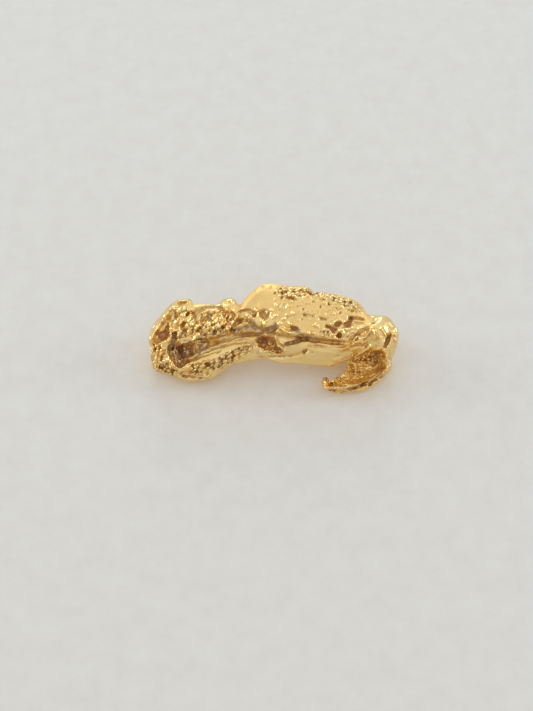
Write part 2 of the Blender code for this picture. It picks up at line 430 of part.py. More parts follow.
def closed_mesh(name, skin):
    """A mesh of quads between neighbouring rings, with a fan of triangles on a point at each end."""
    rings, around = skin.shape[:2]
    ends = skin[[0, -1]].mean(axis=1)
    points = np.concatenate([skin.reshape(-1, 3), ends]) * MM
    ring = np.arange(rings * around).reshape(rings, around)
    beside = np.roll(ring, -1, axis=1)
    quads = np.stack([ring[:-1], ring[1:], beside[1:], beside[:-1]], axis=-1).reshape(-1, 4)
    first, last = rings * around, rings * around + 1
    fans = [(first, here, there) for here, there in zip(ring[0], beside[0])]
    fans += [(last, there, here) for here, there in zip(ring[-1], beside[-1])]
    mesh = bpy.data.meshes.new(name)
    faces = quads.tolist() + [tuple(map(int, fan)) for fan in fans]
    mesh.from_pydata(np.round(points, 8).tolist(), [], faces)
    return mesh


def thin_out(thing, triangles):
    """Collapse the mesh's least telling edges until about this many triangles are left."""
    thing.data.calc_loop_triangles()
    thinner = thing.modifiers.new("Thin out", "DECIMATE")
    thinner.ratio = triangles / len(thing.data.loop_triangles)
    thinner.use_collapse_triangulate = True
    bpy.context.view_layer.update()
    mesh = bpy.data.meshes.new_from_object(thing.evaluated_get(bpy.context.evaluated_depsgraph_get()))
    thing.modifiers.remove(thinner)
    thing.data = mesh


def settle(mesh):
    """Put the points of the worn feet exactly on the ground, and weld what lies together."""
    shape = bmesh.new()
    shape.from_mesh(mesh)
    for vertex in shape.verts:
        if vertex.co.z < SNAP * MM:
            vertex.co.z = 0.0
    bmesh.ops.remove_doubles(shape, verts=shape.verts[:], dist=WELD * MM)
    shape.to_mesh(mesh)
    shape.free()


def gold():
    material = bpy.data.materials.new("native gold")
    material.use_nodes = True
    shader = material.node_tree.nodes["Principled BSDF"]
    shader.inputs["Base Color"].default_value = GOLD
    shader.inputs["Metallic"].default_value = 1.0
    shader.inputs["Roughness"].default_value = GOLD_ROUGHNESS
    return material


def main():
    for thing in list(bpy.data.objects):
        bpy.data.objects.remove(thing)
    nugget = bpy.data.objects.new(NODE, closed_mesh(NODE, nugget_skin(RINGS, AROUND)))
    bpy.context.collection.objects.link(nugget)
    thin_out(nugget, TRIANGLES)
    settle(nugget.data)
    nugget.data.name = NODE
    nugget.data.materials.clear()
    nugget.data.materials.append(gold())
    nugget.data.shade_smooth()


main()
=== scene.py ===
"""Gold nugget: its finish, and the light and camera it is shown under.

The nugget is one closed skin, laid out on its broad face in millimetres:
`along` runs from the blunt head to the bend, `up` runs up the face and `out`
stands off it.  The skin is carried along numbered rungs, each a straight line
from the lower edge to the upper edge; round the bend the rungs turn on its
inner corner, so the leaf is the same skin carried on.  The loft, the ridges,
the pits and the beads are the solid's own, on a finer grid; the threads, dots,
grains and beads of the second set are only here.
"""
from math import radians

import bpy
import numpy as np
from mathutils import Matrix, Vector


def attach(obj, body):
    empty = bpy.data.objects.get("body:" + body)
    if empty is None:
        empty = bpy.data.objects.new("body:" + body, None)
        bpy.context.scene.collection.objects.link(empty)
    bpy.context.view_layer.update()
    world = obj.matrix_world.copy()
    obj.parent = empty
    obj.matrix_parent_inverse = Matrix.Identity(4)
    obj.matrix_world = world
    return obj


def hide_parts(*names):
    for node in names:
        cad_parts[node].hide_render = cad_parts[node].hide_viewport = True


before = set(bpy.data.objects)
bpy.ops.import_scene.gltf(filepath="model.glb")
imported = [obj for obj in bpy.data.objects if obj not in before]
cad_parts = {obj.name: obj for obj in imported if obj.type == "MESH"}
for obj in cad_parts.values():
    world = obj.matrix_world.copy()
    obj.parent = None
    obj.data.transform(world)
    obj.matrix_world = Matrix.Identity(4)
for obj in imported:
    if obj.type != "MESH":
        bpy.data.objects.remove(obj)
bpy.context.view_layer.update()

# ---- driving sizes, in millimetres where nothing else is said
MM = 0.001                  # metres
FACE_TILT = radians(56.0)   # the way off the broad face rises this far above level
FOOT_WEAR = 0.13            # the feet are worn flat up to this height above the lowest point
RINGS, AROUND = 560, 176    # rings along the skin and points round each ring

# Broad swells left by the metal's growth and by tumbling: size, height, seed.
SWELLS = [(0.95, 0.055, 11), (0.48, 0.035, 12)]
FINE_SWELLS = [(0.21, 0.010, 13), (0.11, 0.005, 14)]
WANDER, WANDER_SIZE = 0.04, 0.17    # how far fine features stray from their paths, and in what swells

# A feature of the face fades out where the skin turns edge-on to it, between these slopes.
FADE_FROM, FADE_TO = 0.05, 0.40
HEAD_FADE, TIP_FADE = 1.2, 0.8      # and over this many rungs towards either end

WALK_STEPS = 4001                   # places at which the walk along the two edges is measured
EDGE_WEIGHTS = 0.6, 0.4             # how much the upper and the lower edge count in that walk
# how much of a ring's points lie between one line of the section and the next
FRONT_SHARE = [0.55, 0.50, 0.50, 0.50, 0.55, 0.50, 0.80, 0.90, 0.90, 0.60]
BACK_SHARE = [0.45, 0.60, 0.70, 0.60, 0.45]


def closed_end(out):
    """A section shrunk to a point: every line of it stands the same distance off the face."""
    front = [(share / 10, out) for share in range(11)]
    back = [(share, out) for share in (0.9, 0.7, 0.4, 0.1)]
    return front, back


# rung, along, up: the outline that a walk along the top passes, round the bend and out along the leaf
UPPER_EDGE = [
    (0, -6.80, -0.32), (1, -6.85, -0.19), (2, -6.88, 0.11), (3, -6.75, 0.46), (4, -6.55, 0.84),
    (5, -6.24, 1.27), (6, -5.87, 1.74), (6.5, -5.57, 2.01), (7, -5.30, 2.16), (7.5, -5.00, 2.24),
    (8, -4.70, 2.29), (8.35, -4.51, 2.22), (8.65, -4.35, 2.00), (9, -4.05, 1.97), (10, -3.46, 1.96),
    (10.5, -3.16, 1.92), (10.8, -2.96, 2.04), (11.1, -2.82, 2.21), (11.5, -2.49, 2.27), (12, -2.16, 2.23),
    (12.3, -2.01, 2.04), (12.6, -1.86, 1.92), (13, -1.71, 2.08), (13.5, -1.54, 2.32), (14, -1.35, 2.52),
    (14.5, -1.05, 2.80), (15, -0.70, 3.01), (15.5, -0.32, 3.08), (16, 0.16, 3.05), (16.5, 0.54, 2.96),
    (17, 0.92, 2.89), (17.5, 1.41, 2.93), (18, 1.84, 2.90), (18.4, 2.16, 2.69), (19, 2.76, 2.63),
    (19.5, 3.14, 2.56), (20, 3.57, 2.42), (20.5, 3.95, 2.29), (21, 4.27, 2.18), (21.5, 4.59, 1.99),
    (22, 4.86, 1.74), (22.5, 5.05, 1.44), (23, 5.24, 1.34), (24, 5.65, 1.33), (25, 6.08, 1.30),
    (26, 6.43, 1.00), (26.5, 6.65, 0.70), (27, 6.78, 0.38), (27.5, 6.80, 0.05), (28, 6.73, -0.35),
    (29, 6.58, -0.86), (29.4, 6.45, -1.16), (29.7, 6.48, -1.38), (30, 6.41, -1.54), (31, 6.11, -1.89),
    (32, 5.76, -2.29), (33, 5.35, -2.57), (34, 4.86, -2.76), (35, 4.32, -2.81), (35.5, 3.97, -2.89),
    (36, 3.68, -2.94), (37, 3.19, -2.82), (38, 2.84, -2.74), (39, 2.65, -2.62), (40, 2.59, -2.49),
]

# rung, along, up: the outline of the underside, turning on the inner corner of the bend
LOWER_EDGE = [
    (0, -6.78, -0.38), (1, -6.75, -0.51), (2, -6.70, -0.76), (3, -6.70, -1.14), (4, -6.65, -1.46),
    (5, -6.38, -1.72), (6, -5.86, -1.85), (7, -5.35, -2.03), (7.5, -5.03, -2.16), (8, -4.70, -2.25),
    (9, -4.05, -2.24), (10, -3.54, -2.18), (10.5, -3.24, -2.03), (11, -2.92, -1.79), (11.5, -2.65, -1.63),
    (12, -2.38, -1.41), (13, -1.78, -1.22), (14, -1.14, -1.14), (15, -0.49, -0.99), (16, 0.27, -1.21),
    (17, 1.03, -1.26), (18, 1.78, -1.35), (19, 2.49, -1.39), (19.5, 2.86, -1.43), (20, 3.14, -1.44),
    (21, 3.51, -1.30), (22, 3.86, -1.14), (23, 4.08, -1.06), (24, 4.16, -1.05), (27, 4.16, -1.05),
    (28, 4.14, -1.08), (29, 4.11, -1.11), (30, 4.05, -1.16), (31, 3.99, -1.38), (32, 3.91, -1.59),
    (33, 3.81, -1.80), (34, 3.65, -1.95), (35, 3.46, -2.00), (36, 3.24, -2.19), (37, 3.05, -2.24),
    (38, 2.89, -2.09), (39, 2.70, -2.09), (40, 2.57, -2.30),
]

LAST_RUNG = 40

# rung, name, then (share of the rung from the lower edge, out): first eleven lines up the front -
# lower edge, foot, lower face, lip, furrow floor, recess, torn edge, face low, face high, shoulder,
# upper edge - and then four down the back
SECTIONS = [
    (0, "left tip", *closed_end(-0.95)),
    (1, "left knob",
     [(0.00, -0.98), (0.08, -0.90), (0.17, -0.84), (0.25, -0.80), (0.35, -0.78), (0.45, -0.76),
      (0.55, -0.75), (0.67, -0.76), (0.78, -0.80), (0.92, -0.86), (1.00, -0.95)],
     [(0.95, -1.07), (0.72, -1.18), (0.40, -1.20), (0.10, -1.10)]),
    (2, "left knob, back",
     [(0.00, -1.00), (0.09, -0.80), (0.19, -0.68), (0.28, -0.62), (0.38, -0.60), (0.47, -0.56),
      (0.56, -0.50), (0.69, -0.46), (0.81, -0.50), (0.92, -0.62), (1.00, -0.85)],
     [(0.95, -1.15), (0.72, -1.42), (0.40, -1.50), (0.10, -1.28)]),
    (3, "end face, top",
     [(0.00, -1.05), (0.08, -0.74), (0.19, -0.56), (0.29, -0.48), (0.39, -0.44), (0.49, -0.40),
      (0.59, -0.33), (0.71, -0.32), (0.83, -0.40), (0.93, -0.55), (1.00, -0.85)],
     [(0.96, -1.30), (0.75, -1.85), (0.40, -2.10), (0.10, -1.60)]),
    (4, "end face",
     [(0.00, -1.10), (0.09, -0.72), (0.20, -0.48), (0.31, -0.38), (0.40, -0.34), (0.49, -0.30),
      (0.59, -0.20), (0.71, -0.20), (0.84, -0.32), (0.94, -0.50), (1.00, -0.85)],
     [(0.97, -1.40), (0.75, -2.15), (0.42, -2.42), (0.08, -1.70)]),
    (6, "end pit",
     [(0.00, -1.05), (0.07, -0.60), (0.15, -0.30), (0.25, -0.18), (0.34, -0.14), (0.41, -0.10),
      (0.49, 0.04), (0.62, 0.06), (0.79, -0.12), (0.92, -0.35), (1.00, -0.75)],
     [(0.97, -1.50), (0.72, -2.55), (0.44, -2.82), (0.08, -1.80)]),
    (6.7, "furrow end",
     [(0.00, -1.00), (0.06, -0.52), (0.14, -0.25), (0.22, -0.20), (0.31, -0.38), (0.40, -0.45),
      (0.47, 0.10), (0.59, 0.12), (0.75, -0.05), (0.91, -0.30), (1.00, -0.68)],
     [(0.95, -1.60), (0.70, -2.65), (0.43, -2.86), (0.08, -1.80)]),
    (7.3, "furrow, left",
     [(0.00, -0.95), (0.05, -0.50), (0.09, -0.28), (0.14, -0.16), (0.24, -0.66), (0.37, -0.95),
      (0.45, 0.14), (0.59, 0.18), (0.75, 0.05), (0.91, -0.22), (1.00, -0.62)],
     [(0.92, -1.60), (0.67, -2.70), (0.42, -2.84), (0.08, -1.80)]),
    (8, "furrow, deepest",
     [(0.00, -0.90), (0.07, -0.42), (0.12, -0.26), (0.18, -0.14), (0.26, -0.56), (0.38, -0.92),
      (0.46, 0.15), (0.58, 0.22), (0.73, 0.10), (0.90, -0.18), (1.00, -0.60)],
     [(0.92, -1.65), (0.66, -2.72), (0.42, -2.84), (0.08, -1.75)]),
    (9, "head, middle",
     [(0.00, -0.90), (0.07, -0.46), (0.15, -0.28), (0.24, -0.14), (0.34, -0.42), (0.46, -0.74),
      (0.55, 0.16), (0.65, 0.22), (0.80, 0.05), (0.94, -0.10), (1.00, -0.55)],
     [(0.92, -1.60), (0.66, -2.65), (0.42, -2.80), (0.08, -1.72)]),
    (10, "head, right",
     [(0.00, -0.92), (0.08, -0.52), (0.16, -0.32), (0.26, -0.16), (0.37, -0.32), (0.49, -0.54),
      (0.59, 0.12), (0.68, 0.16), (0.84, -0.05), (0.94, -0.12), (1.00, -0.58)],
     [(0.92, -1.55), (0.66, -2.45), (0.38, -2.55), (0.07, -1.65)]),
    (11, "neck",
     [(0.00, -0.92), (0.06, -0.56), (0.13, -0.36), (0.24, -0.18), (0.36, -0.30), (0.47, -0.44),
      (0.56, 0.08), (0.66, 0.12), (0.81, -0.05), (0.92, -0.15), (1.00, -0.55)],
     [(0.93, -1.40), (0.69, -2.10), (0.36, -2.15), (0.08, -1.52)]),
    (12, "neck, waist",
     [(0.00, -0.92), (0.05, -0.58), (0.12, -0.38), (0.23, -0.20), (0.33, -0.28), (0.44, -0.38),
      (0.54, 0.08), (0.64, 0.14), (0.80, 0.00), (0.91, -0.12), (1.00, -0.55)],
     [(0.94, -1.25), (0.72, -1.90), (0.40, -2.00), (0.10, -1.46)]),
    (14, "notch",
     [(0.00, -0.88), (0.05, -0.56), (0.11, -0.38), (0.20, -0.26), (0.30, -0.30), (0.40, -0.36),
      (0.52, 0.08), (0.64, 0.12), (0.77, -0.02), (0.92, -0.24), (1.00, -0.65)],
     [(0.96, -1.25), (0.74, -1.85), (0.42, -1.95), (0.10, -1.40)]),
    (15, "slab, left",
     [(0.00, -0.85), (0.04, -0.52), (0.08, -0.34), (0.13, -0.30), (0.23, -0.38), (0.33, -0.28),
      (0.42, 0.20), (0.57, 0.22), (0.75, 0.04), (0.92, -0.26), (1.00, -0.66)],
     [(0.97, -1.28), (0.74, -1.90), (0.42, -1.98), (0.10, -1.40)]),
    (16, "slab, lobe",
     [(0.00, -0.80), (0.06, -0.50), (0.12, -0.34), (0.19, -0.22), (0.27, -0.20), (0.33, -0.14),
      (0.39, 0.30), (0.55, 0.28), (0.74, 0.10), (0.91, -0.24), (1.00, -0.68)],
     [(0.98, -1.30), (0.74, -1.95), (0.40, -2.00), (0.12, -1.40)]),
    (18, "slab, overhang",
     [(0.00, -0.78), (0.07, -0.46), (0.14, -0.30), (0.22, -0.18), (0.29, -0.22), (0.34, -0.26),
      (0.38, 0.38), (0.56, 0.34), (0.76, 0.14), (0.92, -0.18), (1.00, -0.66)],
     [(0.98, -1.40), (0.74, -2.15), (0.40, -2.20), (0.12, -1.40)]),
    (20, "slab, pits",
     [(0.00, -0.75), (0.07, -0.44), (0.15, -0.24), (0.23, -0.06), (0.30, -0.02), (0.34, -0.06),
      (0.38, 0.38), (0.55, 0.34), (0.77, 0.14), (0.93, -0.16), (1.00, -0.62)],
     [(0.98, -1.40), (0.74, -2.40), (0.42, -2.65), (0.12, -1.60)]),
    (22, "slab, right",
     [(0.00, -0.85), (0.07, -0.55), (0.14, -0.30), (0.21, -0.10), (0.27, 0.02), (0.33, 0.06), (0.38, 0.32),
      (0.56, 0.30), (0.75, 0.14), (0.93, -0.12), (1.00, -0.58)],
     [(0.97, -1.40), (0.74, -2.50), (0.46, -3.00), (0.14, -1.95)]),
    (24, "bend, top",
     [(0.00, -1.05), (0.09, -0.70), (0.18, -0.40), (0.26, -0.16), (0.33, -0.02), (0.40, 0.08),
      (0.47, 0.22), (0.58, 0.16), (0.72, 0.02), (0.87, -0.24), (1.00, -0.65)],
     [(0.96, -1.40), (0.74, -2.50), (0.48, -3.15), (0.16, -2.30)]),
    (26, "bend, shoulder",
     [(0.00, -1.08), (0.11, -0.80), (0.22, -0.52), (0.32, -0.30), (0.41, -0.14), (0.49, -0.02),
      (0.57, 0.06), (0.67, 0.06), (0.78, -0.06), (0.90, -0.30), (1.00, -0.70)],
     [(0.96, -1.40), (0.74, -2.35), (0.48, -3.10), (0.18, -2.40)]),
    (27, "bend, side",
     [(0.00, -1.13), (0.11, -0.88), (0.22, -0.64), (0.33, -0.45), (0.43, -0.30), (0.52, -0.18),
      (0.61, -0.10), (0.70, -0.08), (0.80, -0.18), (0.91, -0.45), (1.00, -0.86)],
     [(0.96, -1.50), (0.74, -2.25), (0.46, -2.85), (0.18, -2.40)]),
    (27.6, "bend, over the hollow",
     [(0.00, -1.35), (0.11, -1.45), (0.22, -1.47), (0.32, -1.36), (0.40, -1.04), (0.46, -0.52),
      (0.53, -0.20), (0.66, -0.12), (0.79, -0.20), (0.91, -0.48), (1.00, -0.88)],
     [(0.96, -1.50), (0.74, -2.20), (0.46, -2.72), (0.18, -2.40)]),
    (28.2, "bend, foot",
     [(0.00, -1.38), (0.12, -1.50), (0.24, -1.54), (0.36, -1.50), (0.47, -1.38), (0.57, -1.12),
      (0.65, -0.58), (0.72, -0.30), (0.82, -0.32), (0.92, -0.60), (1.00, -1.00)],
     [(0.96, -1.55), (0.74, -2.16), (0.46, -2.54), (0.18, -2.30)]),
    (29, "leaf, root",
     [(0.00, -1.40), (0.12, -1.52), (0.24, -1.57), (0.36, -1.56), (0.48, -1.50), (0.60, -1.34),
      (0.71, -0.88), (0.79, -0.48), (0.86, -0.48), (0.94, -0.74), (1.00, -1.08)],
     [(0.96, -1.60), (0.74, -2.12), (0.46, -2.36), (0.18, -2.20)]),
    (31, "leaf, widest",
     [(0.00, -1.35), (0.14, -1.52), (0.30, -1.57), (0.46, -1.52), (0.62, -1.36), (0.75, -0.98),
      (0.84, -0.38), (0.89, -0.34), (0.93, -0.52), (0.97, -0.80), (1.00, -1.13)],
     [(0.94, -1.51), (0.74, -1.86), (0.44, -1.94), (0.16, -1.73)]),
    (33, "leaf, middle",
     [(0.00, -1.24), (0.10, -1.32), (0.22, -1.33), (0.34, -1.27), (0.46, -1.08), (0.55, -0.72),
      (0.62, -0.34), (0.70, -0.36), (0.82, -0.52), (0.93, -0.70), (1.00, -0.95)],
     [(0.95, -1.24), (0.74, -1.52), (0.44, -1.62), (0.16, -1.52)]),
    (35, "leaf, narrowing",
     [(0.00, -1.05), (0.08, -1.08), (0.17, -1.08), (0.26, -1.00), (0.35, -0.82), (0.43, -0.52),
      (0.50, -0.30), (0.60, -0.36), (0.74, -0.48), (0.89, -0.62), (1.00, -0.82)],
     [(0.96, -1.06), (0.74, -1.26), (0.44, -1.32), (0.14, -1.26)]),
    (37, "leaf, neck",
     [(0.00, -0.88), (0.06, -0.82), (0.13, -0.76), (0.20, -0.68), (0.27, -0.56), (0.33, -0.42),
      (0.39, -0.32), (0.54, -0.30), (0.72, -0.38), (0.88, -0.52), (1.00, -0.72)],
     [(0.94, -0.92), (0.72, -1.06), (0.42, -1.10), (0.12, -1.03)]),
    (39, "leaf, knob",
     [(0.00, -0.72), (0.08, -0.60), (0.16, -0.52), (0.24, -0.46), (0.32, -0.42), (0.39, -0.40),
      (0.46, -0.38), (0.60, -0.38), (0.76, -0.42), (0.90, -0.52), (1.00, -0.66)],
     [(0.92, -0.81), (0.70, -0.92), (0.42, -0.95), (0.12, -0.89)]),
    (40, "leaf tip", *closed_end(-0.67)),
]

# name, height (below 0 is a crease), width, path of (along, up)
RIDGES = [
    ("end rim", 0.16, 0.11, [(-6.68, 0.05), (-6.54, 0.32), (-6.32, 0.68), (-6.05, 1.05), (-5.73, 1.54),
     (-5.41, 1.92), (-5.03, 2.16)]),
    ("rim crease", -0.12, 0.10, [(-6.49, -0.05), (-6.32, 0.27), (-6.11, 0.54), (-5.84, 0.86),
     (-5.62, 1.16), (-5.30, 1.32)]),
    ("rib", 0.14, 0.13, [(-5.70, 1.03), (-5.59, 0.54), (-5.51, 0.11), (-5.65, -0.22), (-5.78, -0.59),
     (-5.73, -1.03)]),
    ("furrow end", -0.20, 0.11, [(-5.35, 0.38), (-5.46, -0.05), (-5.62, -0.41), (-5.57, -0.81),
     (-5.35, -1.14), (-5.08, -1.41)]),
    ("knob crease", -0.22, 0.09, [(-6.65, -0.35), (-6.49, -0.19), (-6.22, -0.05)]),
    ("curl crease", -0.14, 0.07, [(-5.24, 1.96), (-5.03, 2.03), (-4.73, 2.05)]),
    ("hollow brow", -0.20, 0.12, [(-4.38, 1.43), (-4.05, 1.63), (-3.68, 1.74), (-3.35, 1.79),
     (-2.97, 1.76)]),
    ("hollow right", -0.12, 0.12, [(-2.92, 1.70), (-2.76, 1.46), (-2.54, 1.24), (-2.38, 1.08)]),
    ("shoulder fold", 0.18, 0.13, [(-2.76, 1.81), (-2.49, 1.57), (-2.16, 1.51), (-1.97, 1.27),
     (-2.16, 1.03), (-2.43, 0.70), (-2.49, 0.49)]),
    ("upper crease", -0.14, 0.10, [(-2.30, 0.43), (-2.16, 0.76), (-1.89, 1.00), (-1.51, 1.08)]),
    ("red crease", -0.18, 0.10, [(-2.27, 0.51), (-1.84, 0.59), (-1.41, 0.70)]),
    ("notch arm", -0.26, 0.12, [(-1.30, 1.00), (-1.14, 0.76), (-0.92, 0.59), (-0.65, 0.57)]),
    ("drip", 0.18, 0.10, [(-0.58, 1.14), (-0.56, 0.54)]),
    ("shelf crease", -0.16, 0.09, [(-2.22, 0.19), (-1.78, 0.28), (-1.24, 0.32), (-0.76, 0.31)]),
    ("lobe rim", 0.16, 0.11, [(0.07, 0.11), (0.14, -0.16), (0.32, -0.38), (0.54, -0.57)]),
    ("belly crease", -0.12, 0.09, [(-0.22, -0.91), (0.32, -0.89), (0.86, -0.86), (1.30, -0.77),
     (1.62, -0.65), (1.78, -0.54)]),
    ("slab lip", 0.07, 0.11, [(0.27, 0.73), (0.59, 0.44), (0.92, 0.38), (1.41, 0.46), (1.84, 0.38),
     (2.38, 0.22), (2.92, 0.08), (3.41, -0.03)]),
    ("under lip", -0.16, 0.09, [(1.24, 0.00), (1.73, 0.03), (2.05, 0.03), (2.38, -0.03), (2.81, -0.10),
     (3.46, -0.14)]),
    ("right crease", -0.14, 0.08, [(4.16, -0.37), (4.54, -0.31), (4.97, -0.22)]),
    ("right ridge", 0.12, 0.11, [(3.62, -0.50), (3.95, -0.41), (4.27, -0.24), (4.76, -0.11)]),
    ("crack", -0.14, 0.08, [(4.11, 1.19), (4.49, 1.17), (4.76, 1.14)]),
    ("bend rib a", 0.08, 0.12, [(4.76, 0.05), (4.97, 0.27), (5.19, 0.54)]),
    ("bend crease a", -0.12, 0.08, [(4.11, -0.05), (4.32, 0.22), (4.65, 0.46), (5.08, 0.65)]),
    ("foot groove", -0.16, 0.08, [(-4.92, -1.97), (-4.54, -2.02), (-4.00, -2.04)]),
    ("foot hollow", -0.14, 0.14, [(-4.97, -1.78), (-4.65, -1.70), (-4.16, -1.76), (-3.68, -1.78)]),
    ("leaf streak a", -0.20, 0.09, [(4.11, -2.70), (4.43, -2.63), (4.76, -2.49), (5.03, -2.30)]),
    ("leaf streak b", -0.22, 0.10, [(5.19, -2.43), (5.35, -2.24), (5.62, -2.09), (5.89, -1.97)]),
    ("leaf streak c", -0.16, 0.07, [(5.14, -2.11), (5.46, -2.00), (5.78, -1.83)]),
    ("leaf low seam", -0.12, 0.07, [(3.03, -2.70), (3.35, -2.80), (3.68, -2.84), (3.95, -2.82)]),
    ("leaf rim", 0.12, 0.10, [(3.08, -2.56), (3.57, -2.55), (4.05, -2.45), (4.65, -2.22), (5.19, -2.03),
     (5.68, -1.78), (6.11, -1.58)]),
]

# name, along, up, long radius, short radius, turn in degrees, depth
PITS = [
    ("end pit", -5.99, 0.24, 0.28, 0.22, 38, 0.44),
    ("end pit top", -5.80, 0.62, 0.21, 0.10, 66, 0.26),
    ("hollow", -3.62, 1.35, 0.76, 0.35, 10, 0.16),
    ("furrow pit", -4.86, -0.59, 0.49, 0.30, 12, 0.22),
    ("middle pit", -0.16, 0.56, 0.34, 0.16, 22, 0.40),
    ("notch pit", -0.54, 1.39, 0.25, 0.24, 0, 0.26),
    ("red recess", -0.43, -0.16, 0.49, 0.30, -15, 0.40),
    ("red recess low", 0.14, -0.54, 0.35, 0.15, -15, 0.24),
    ("lip pit", 1.08, 0.61, 0.23, 0.12, -12, 0.28),
    ("overhang", 1.57, 0.15, 0.27, 0.16, -8, 0.32),
    ("wedge", 0.97, -0.16, 0.41, 0.10, 12, 0.24),
    ("plate pit a", 3.26, 0.51, 0.14, 0.16, 20, 0.22),
    ("plate pit a left", 2.97, 0.69, 0.17, 0.08, -20, 0.16),
    ("plate pit b", 3.43, 0.85, 0.19, 0.13, 25, 0.22),
    ("plate pit c", 3.94, 0.81, 0.21, 0.14, 12, 0.26),
    ("plate pit d", 4.11, 1.09, 0.16, 0.12, 70, 0.22),
    ("bend pit", 6.14, -0.08, 0.36, 0.11, 68, 0.34),
    ("bottom pit", -6.00, -1.48, 0.26, 0.12, -12, 0.24),
    ("tip valley", 3.02, -2.42, 0.18, 0.09, 0, 0.22),
]

# along, up, long radius, short radius, turn in degrees, height
BEADS = [
    (-4.70, 2.12, 0.14, 0.12, 15, 0.16), (-2.58, 1.66, 0.21, 0.11, -40, 0.18),
    (-2.01, 1.22, 0.22, 0.11, 50, 0.18), (-1.03, 1.63, 0.17, 0.12, -40, 0.16),
    (-2.41, 0.57, 0.15, 0.09, 45, 0.14), (-0.42, 1.46, 0.10, 0.13, 0, 0.16),
    (0.59, 0.47, 0.30, 0.10, -32, 0.14), (1.92, 0.38, 0.10, 0.16, 0, 0.13),
    (2.11, 0.35, 0.08, 0.16, 0, 0.13), (2.62, 0.25, 0.13, 0.13, 20, 0.14),
    (3.32, 0.09, 0.21, 0.13, -45, 0.18), (2.27, 0.79, 0.15, 0.13, 10, 0.10),
    (4.22, -0.24, 0.14, 0.12, 20, 0.16), (5.95, -1.70, 0.23, 0.11, 32, 0.18),
    (2.77, -2.24, 0.17, 0.15, 0, 0.22), (2.81, -2.63, 0.16, 0.12, 0, 0.18),
    (4.78, 1.21, 0.11, 0.10, 0, 0.13), (-0.89, -0.18, 0.10, 0.12, 0, 0.14),
    (-5.03, 0.81, 0.10, 0.28, -12, 0.11), (-2.43, 2.11, 0.32, 0.16, 0, 0.08),
    (6.64, 0.32, 0.11, 0.11, 0, 0.09), (6.66, 0.00, 0.10, 0.13, 0, 0.09),
    (0.14, -0.14, 0.09, 0.17, 15, 0.12), (-5.57, 0.32, 0.08, 0.24, 10, 0.10),
]

# the same as RIDGES, on the back
BACK_RIDGES = [
    ("back fold", -0.16, 0.22, [(-4.81, 1.51), (-3.19, 1.19), (-1.30, 1.84), (0.86, 1.95), (3.03, 1.73)]),
    ("back ridge", 0.14, 0.22, [(-5.08, 0.76), (-3.46, 0.43), (-1.57, 1.08), (0.86, 1.19), (3.30, 0.97)]),
    ("heel crease", -0.14, 0.16, [(5.08, 1.08), (5.51, 0.54), (5.62, -0.11), (5.30, -0.65)]),
    ("cross fold", -0.12, 0.16, [(1.41, 2.70), (1.73, 1.89), (1.41, 0.81), (1.95, 0.00)]),
]

# the same as PITS, on the back
BACK_PITS = [
    ("back pit a", -4.00, -0.27, 0.43, 0.27, 20, 0.28),
    ("back pit b", -0.32, 0.27, 0.32, 0.22, -30, 0.24),
    ("back pit c", 2.49, 2.16, 0.38, 0.22, 10, 0.24),
    ("back pit d", 3.84, 0.27, 0.27, 0.19, 50, 0.20),
    ("back pit e", -2.27, 0.97, 0.22, 0.16, 0, 0.20),
]

# ---- the fine surface, which is only here

